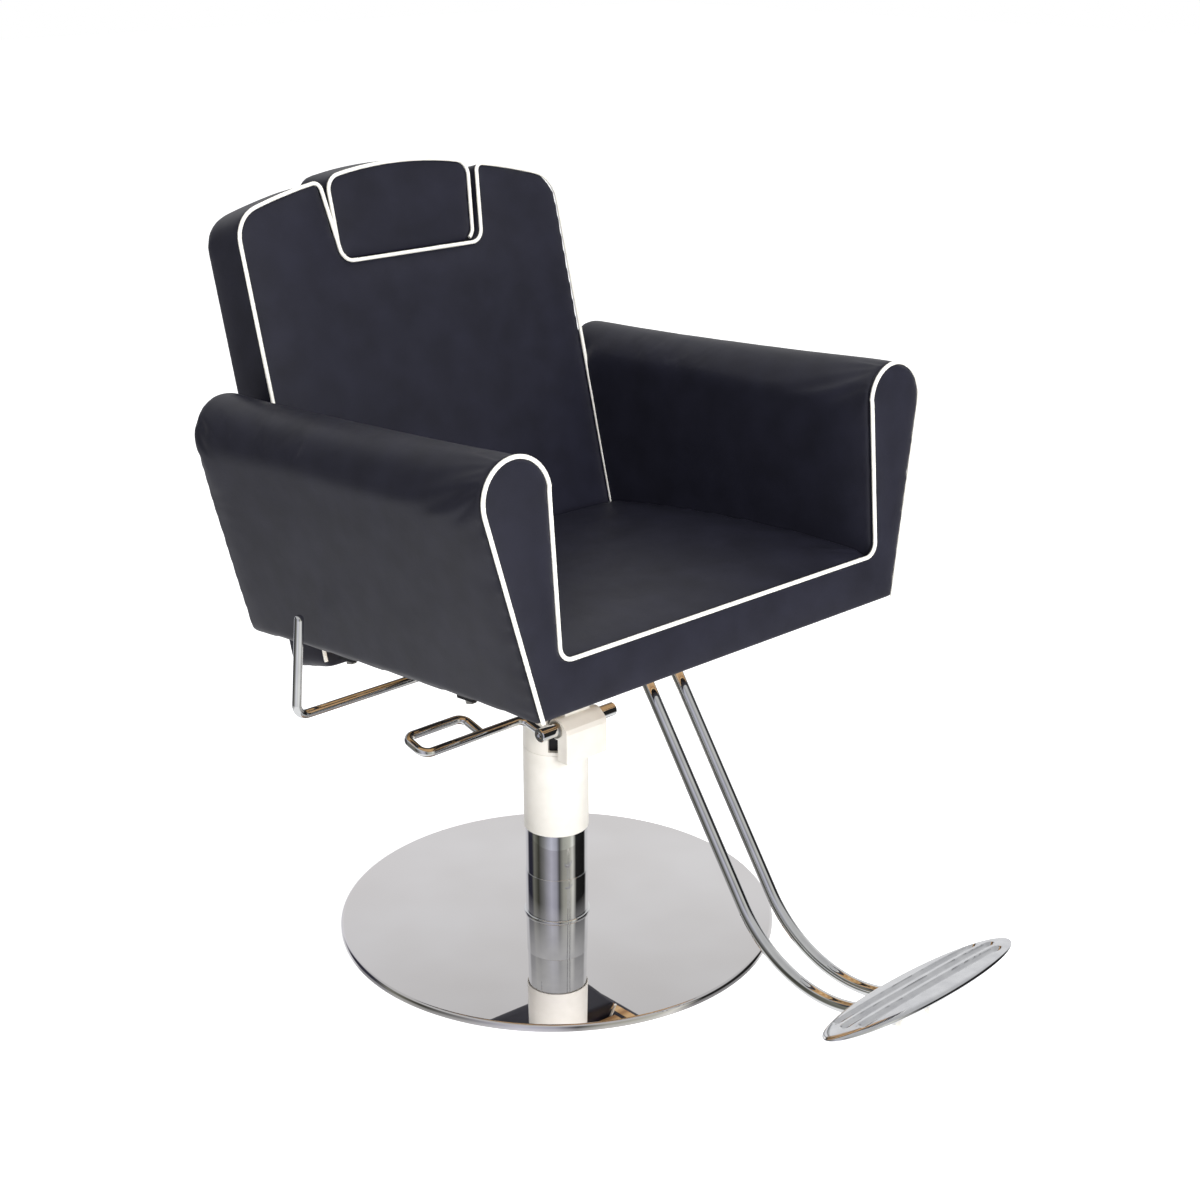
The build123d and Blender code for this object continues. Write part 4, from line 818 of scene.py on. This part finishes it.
# the foot of the backrest stays flat where it passes the hinge cheeks
CHEEK_X = 119.0
CHEEK_REACH = 9.0
FOOT_FLAT = 75.0
for vertex in back_pad.data.vertices:
    local = to_back @ vertex.co
    aside = max(0.0, abs(abs(local.x / MM) - CHEEK_X) - CHEEK_REACH)
    above = max(0.0, local.y / MM - BACK_BOTTOM - FOOT_FLAT)
    local.z = min(local.z, (0.25 * aside + 0.2 * above - 0.2) * MM)
    local.y = max(local.y, (BACK_BOTTOM + 0.5) * MM)
    vertex.co = in_back(0) @ local
back_pad.data.update()
finish_piece(seat_cushion, "leatherette", "seat", "seat_cushion")
finish_piece(arm_pads["left"], "leatherette", "seat", "arm_pad_left")
finish_piece(arm_pads["right"], "leatherette", "seat", "arm_pad_right")
finish_piece(front_panel, "leatherette", "seat", "front_apron")
finish_piece(back_pad, "leatherette", "backrest", "back_front_pad", "back_rear_pad")
finish_piece(head_pad, "leatherette", "headrest", "headrest_pad")

# ---- piping --------------------------------------------------------------------------------------
PIPE_SINK = 1.3
pipe_half = arm_over(PIPE_SINK)
pipe_half[-1] = (ARM_INNER + PIPE, ARM_ROUND_HEIGHT)
pipe_corner = arc(
    (ARM_INNER + PIPE - SEAT_CORNER - PIPE, SEAT_PIPE_HEIGHT + SEAT_CORNER + PIPE),
    SEAT_CORNER + PIPE,
    0,
    -90,
    12,
)
pipe_right = pipe_half + pipe_corner
pipe_line = pipe_right + [(-x, y) for x, y in reversed(pipe_right)]
seat_cord = rope("seat_cord", placed(pipe_line, in_seat(SHELL_FRONT - 2.2)), PIPE, False)
finish_piece(seat_cord, "white_piping", "seat", "seat_piping")

back_pipe = inset_line(back_outline, PIPE_SINK)
back_pipe = [p for p in back_pipe if p[1] > BACK_BOTTOM + 10]
start = next(
    i for i, p in enumerate(back_pipe) if p[0] > 0 and back_pipe[i - 1][0] < 0 and p[1] < 0
)
back_pipe = back_pipe[start:] + back_pipe[:start]
back_cord = rope("back_cord", placed(back_pipe, in_back(1.6)), PIPE, False)
finish_piece(back_cord, "white_piping", "backrest", "back_piping")

head_pipe = inset_line(head_outline, PIPE_SINK)
head_pipe = [p for p in head_pipe if p[1] > HEAD_BOTTOM + 4]
start = next(
    i for i, p in enumerate(head_pipe) if p[0] > 0 and head_pipe[i - 1][0] < 0 and p[1] < 450
)
head_pipe = head_pipe[start:] + head_pipe[:start]
head_cord = rope("headrest_cord", placed(head_pipe, in_head(1.6)), PIPE, False)
finish_piece(head_cord, "white_piping", "headrest", "headrest_piping")

# ---- turned metal: base disc and column ----------------------------------------------------------
TURN_STEPS = 160


def turned(name, profile, steps=TURN_STEPS):
    """A closed profile of (radius, height) in millimetres, spun once round the column's axis."""
    bpy.ops.object.select_all(action="DESELECT")
    bpy.ops.mesh.primitive_circle_add(vertices=len(profile), radius=1, fill_type="NOTHING")
    piece = bpy.context.object
    piece.name = name
    for vertex, point in zip(piece.data.vertices, profile):
        vertex.co = (point[0] * MM, 0, point[1] * MM)
    only(piece)
    bpy.ops.object.mode_set(mode="EDIT")
    bpy.ops.mesh.select_all(action="SELECT")
    bpy.ops.mesh.spin(steps=steps, angle=2 * pi, center=(0, 0, 0), axis=(0, 0, 1))
    bpy.ops.mesh.select_all(action="SELECT")
    bpy.ops.mesh.remove_doubles(threshold=1e-6)
    bpy.ops.mesh.normals_make_consistent(inside=False)
    bpy.ops.object.mode_set(mode="OBJECT")
    return piece


def ring_profile(inside, outside, bottom, top, edge, lower_edge=0.0):
    """A tube's wall, with its outer edges rounded at the top and, where given, at the bottom."""
    upper = arc((outside - edge, top - edge), edge, 0, 90, 5)
    lower = [(outside, bottom)]
    if lower_edge:
        lower = arc((outside - lower_edge, bottom + lower_edge), lower_edge, -90, 0, 5)
    return lower + upper + [(inside, top), (inside, bottom)]


DISC_TOP = 10.0
DISC_RADIUS = 300
DISC_HOLE = 36.3
DISC_SHEET = 1.2
DISC_ROLL = 4.2
disc_edge = (DISC_RADIUS - DISC_ROLL, DISC_TOP - DISC_ROLL)
disc_profile = (
    [(DISC_HOLE, DISC_TOP)]
    + arc(disc_edge, DISC_ROLL, 90, 0, 8)
    + [(DISC_RADIUS, 1), (DISC_RADIUS - DISC_SHEET, 1)]
    + arc(disc_edge, DISC_ROLL - DISC_SHEET, 0, 90, 8)
    + [(DISC_HOLE, DISC_TOP - DISC_SHEET)]
)
disc = turned("base_disc", disc_profile, 240)
finish_piece(disc, "mirror_steel", "base", "base_cover")
TUBE_RADIUS = 42.6
RING_BORE = TUBE_RADIUS + 0.05
sleeve = turned("column_tube", ring_profile(41.0, TUBE_RADIUS, 10.2, 262, 0.5))
finish_piece(sleeve, "chrome", "base", "column_sleeve")
lower_tube = turned("column_lower_tube", ring_profile(RING_BORE, 43.3, 13.1, 75, 0.5))
finish_piece(lower_tube, "chrome", "base", "lower_sleeve")
foot_collar = turned("column_foot_ring", ring_profile(RING_BORE, 46.0, 10.0, 13.0, 1.5))
finish_piece(foot_collar, "chrome", "base", "foot_ring")
cover = turned("column_sheath", ring_profile(43.0, 44.6, 142, 262.6, 0.3, 0.8))
finish_piece(cover, "cream_plastic", "seat", "column_cover")

# ---- footrest ------------------------------------------------------------------------------------
FOOT_X = 25.5
FOOT_RADIUS = 8.0
FOOT_LINE = (-182.4, 450.0)
FOOT_SLOPE = 0.7
FOOT_BEND = 165.0
FOOT_END = (-628.0, 131.0)
FOOT_RISE = radians(14.0)
foot_climb = -tan(FOOT_RISE)
foot_start = FOOT_LINE[0] - FOOT_SLOPE * FOOT_LINE[1] - FOOT_END[0]
foot_corner_z = (FOOT_END[1] + foot_climb * foot_start) / (1 - foot_climb * FOOT_SLOPE)
foot_corner_y = FOOT_LINE[0] + FOOT_SLOPE * (foot_corner_z - FOOT_LINE[1])
socket_y = FOOT_LINE[0] + FOOT_SLOPE * (458 - FOOT_LINE[1])
foot_route = rounded(
    [(socket_y, 458, 0), (foot_corner_y, foot_corner_z, FOOT_BEND), (*FOOT_END, 0)],
    closed=False,
    step=2,
)
for side, side_name in ((1, "left"), (-1, "right")):
    line = [Vector((side * FOOT_X, y, z)) * MM for y, z in foot_route]
    leg = rope(f"footrest_leg_{side_name}", line, FOOT_RADIUS, False, sides=10)
    finish_piece(leg, "chrome", "seat", f"footrest_tube_{side_name}")

PLATE_PLACE = (0.0, -630.0, 165.0)
PLATE_TILT = radians(19.0)
PLATE_HALF = (162.0, 49.0, 6.5)
FLUTE_PITCH = 19.0
FLUTE_HALF_WIDTH = 6.8
FLUTE_DEPTH = 5.0
bpy.ops.object.select_all(action="DESELECT")
bpy.ops.mesh.primitive_uv_sphere_add(segments=360, ring_count=120, radius=1)
plate = bpy.context.object
plate.name = "foot_plate"
plate.data.transform(Matrix.Rotation(radians(90), 4, "Y"))
for vertex in plate.data.vertices:
    across, along, up = vertex.co
    level = min(1.0, across**2 + along**2)
    rise = (1 - level**2) ** 0.42 * PLATE_HALF[2]
    y = along * PLATE_HALF[1]
    if up > 0:
        for flute in (-1, 0, 1):
            reach = 0.8 * (1 - (flute * FLUTE_PITCH / PLATE_HALF[1]) ** 2) ** 0.5
            end = max(0.0, abs(across) - reach) / 0.05
            off = hypot((y - flute * FLUTE_PITCH) / FLUTE_HALF_WIDTH, end)
            if off < 1:
                rise -= FLUTE_DEPTH * (1 - off * off) ** 0.7
    vertex.co = (across * PLATE_HALF[0] * MM, y * MM, (rise if up > 0 else -rise) * MM)
plate.data.transform(
    Matrix.Translation(Vector(PLATE_PLACE) * MM) @ Matrix.Rotation(-PLATE_TILT, 4, "X")
)
plate.data.update()
finish_piece(plate, "polished_aluminium", "seat", "footrest_plate")

# ---- floor and surroundings ----------------------------------------------------------------------
bpy.ops.object.select_all(action="DESELECT")
bpy.ops.mesh.primitive_plane_add(size=30, location=(0, 0, -0.0005))
floor = bpy.context.object
floor.name = "floor"
floor.visible_glossy = False
floor_material = bpy.data.materials.new("white_floor")
floor_material.use_nodes = True
floor_tree = floor_material.node_tree
floor_tree.nodes.clear()
floor_matt = add_node(floor_tree, "ShaderNodeBsdfDiffuse", {"Color": paint("#f7f7f7")})
floor_glow = add_node(
    floor_tree, "ShaderNodeEmission", {"Color": paint("#ffffff"), "Strength": 0.75}
)
floor_mix = add_node(
    floor_tree,
    "ShaderNodeAddShader",
    {0: floor_matt.outputs["BSDF"], 1: floor_glow.outputs["Emission"]},
)
add_node(floor_tree, "ShaderNodeOutputMaterial", {"Surface": floor_mix.outputs["Shader"]})
floor.data.materials.append(floor_material)


def grey(value, blue=1.0):
    """A linear grey, with its blue raised or lowered."""
    return (value, value, value * blue, 1)


def studio_surroundings():
    """A white studio: pale above, with a ring of dark and light panels for metal to reflect."""
    world = bpy.data.worlds.new("studio")
    bpy.context.scene.world = world
    world.use_nodes = True
    tree = world.node_tree
    tree.nodes.clear()
    direction = add_node(tree, "ShaderNodeTexCoord").outputs["Generated"]
    # turned so that the ramp starts behind the chair and its middle is in front
    turned = add_node(
        tree,
        "ShaderNodeMapping",
        {"Vector": direction, "Rotation": (0, 0, radians(90 - CAMERA_TURN))},
    ).outputs["Vector"]
    split = add_node(tree, "ShaderNodeSeparateXYZ", {"Vector": turned})
    angle = add_node(
        tree,
        "ShaderNodeMath",
        {0: split.outputs["Y"], 1: split.outputs["X"]},
        operation="ARCTAN2",
    ).outputs["Value"]
    around = add_node(
        tree,
        "ShaderNodeMapRange",
        {"Value": angle, "From Min": -pi, "From Max": pi},
    ).outputs["Result"]
    panels = ramp(
        tree,
        around,
        [
            (0.00, grey(0.76, 1.0)),
            (0.12, grey(0.74, 1.05)),
            (0.16, grey(0.03, 1.5)),
            (0.22, grey(0.03, 1.5)),
            (0.25, grey(0.20, 0.85)),
            (0.31, grey(0.05, 0.8)),
            (0.37, grey(0.22)),
            (0.45, grey(0.58, 1.15)),
            (0.50, grey(0.42, 1.15)),
            (0.53, grey(0.08)),
            (0.57, grey(0.40, 0.88)),
            (0.64, grey(0.55, 0.88)),
            (0.67, grey(0.85, 0.92)),
            (0.71, grey(0.02)),
            (0.84, grey(0.01)),
            (0.88, grey(0.80, 1.0)),
            (1.00, grey(0.76, 1.0)),
        ],
    )
    sky = ramp(
        tree,
        add_node(tree, "ShaderNodeMapRange", {"Value": split.outputs["Z"]}).outputs["Result"],
        [(0.0, grey(0.92)), (0.25, grey(0.76, 0.99)), (0.5, grey(0.60)), (1.0, grey(0.48))],
    )
    # the panels stand around the horizon, between the sky and the white floor
    steepness = add_node(
        tree, "ShaderNodeMath", {0: split.outputs["Z"]}, operation="ABSOLUTE"
    ).outputs["Value"]
    blend = add_node(
        tree,
        "ShaderNodeMapRange",
        {"Value": steepness, "From Min": 0.42, "From Max": 0.66},
    ).outputs["Result"]
    seen = add_node(
        tree, "ShaderNodeMix", {"Factor": blend, "A": panels, "B": sky}, data_type="RGBA"
    )
    # a Mix node in colour mode keeps its colour sockets after its value ones
    for socket in seen.inputs:
        if socket.type == "RGBA" and socket.identifier == "A_Color":
            tree.links.new(panels, socket)
        if socket.type == "RGBA" and socket.identifier == "B_Color":
            tree.links.new(sky, socket)
    surroundings = next(s for s in seen.outputs if s.identifier == "Result_Color")
    studio = add_node(tree, "ShaderNodeBackground", {"Color": surroundings, "Strength": 1.0})
    backdrop = add_node(tree, "ShaderNodeBackground", {"Color": (1, 1, 1, 1), "Strength": 1.0})
    watched = add_node(tree, "ShaderNodeLightPath").outputs["Is Camera Ray"]
    mixed = add_node(
        tree,
        "ShaderNodeMixShader",
        {0: watched, 1: studio.outputs["Background"], 2: backdrop.outputs["Background"]},
    )
    add_node(tree, "ShaderNodeOutputWorld", {"Surface": mixed.outputs["Shader"]})


studio_surroundings()
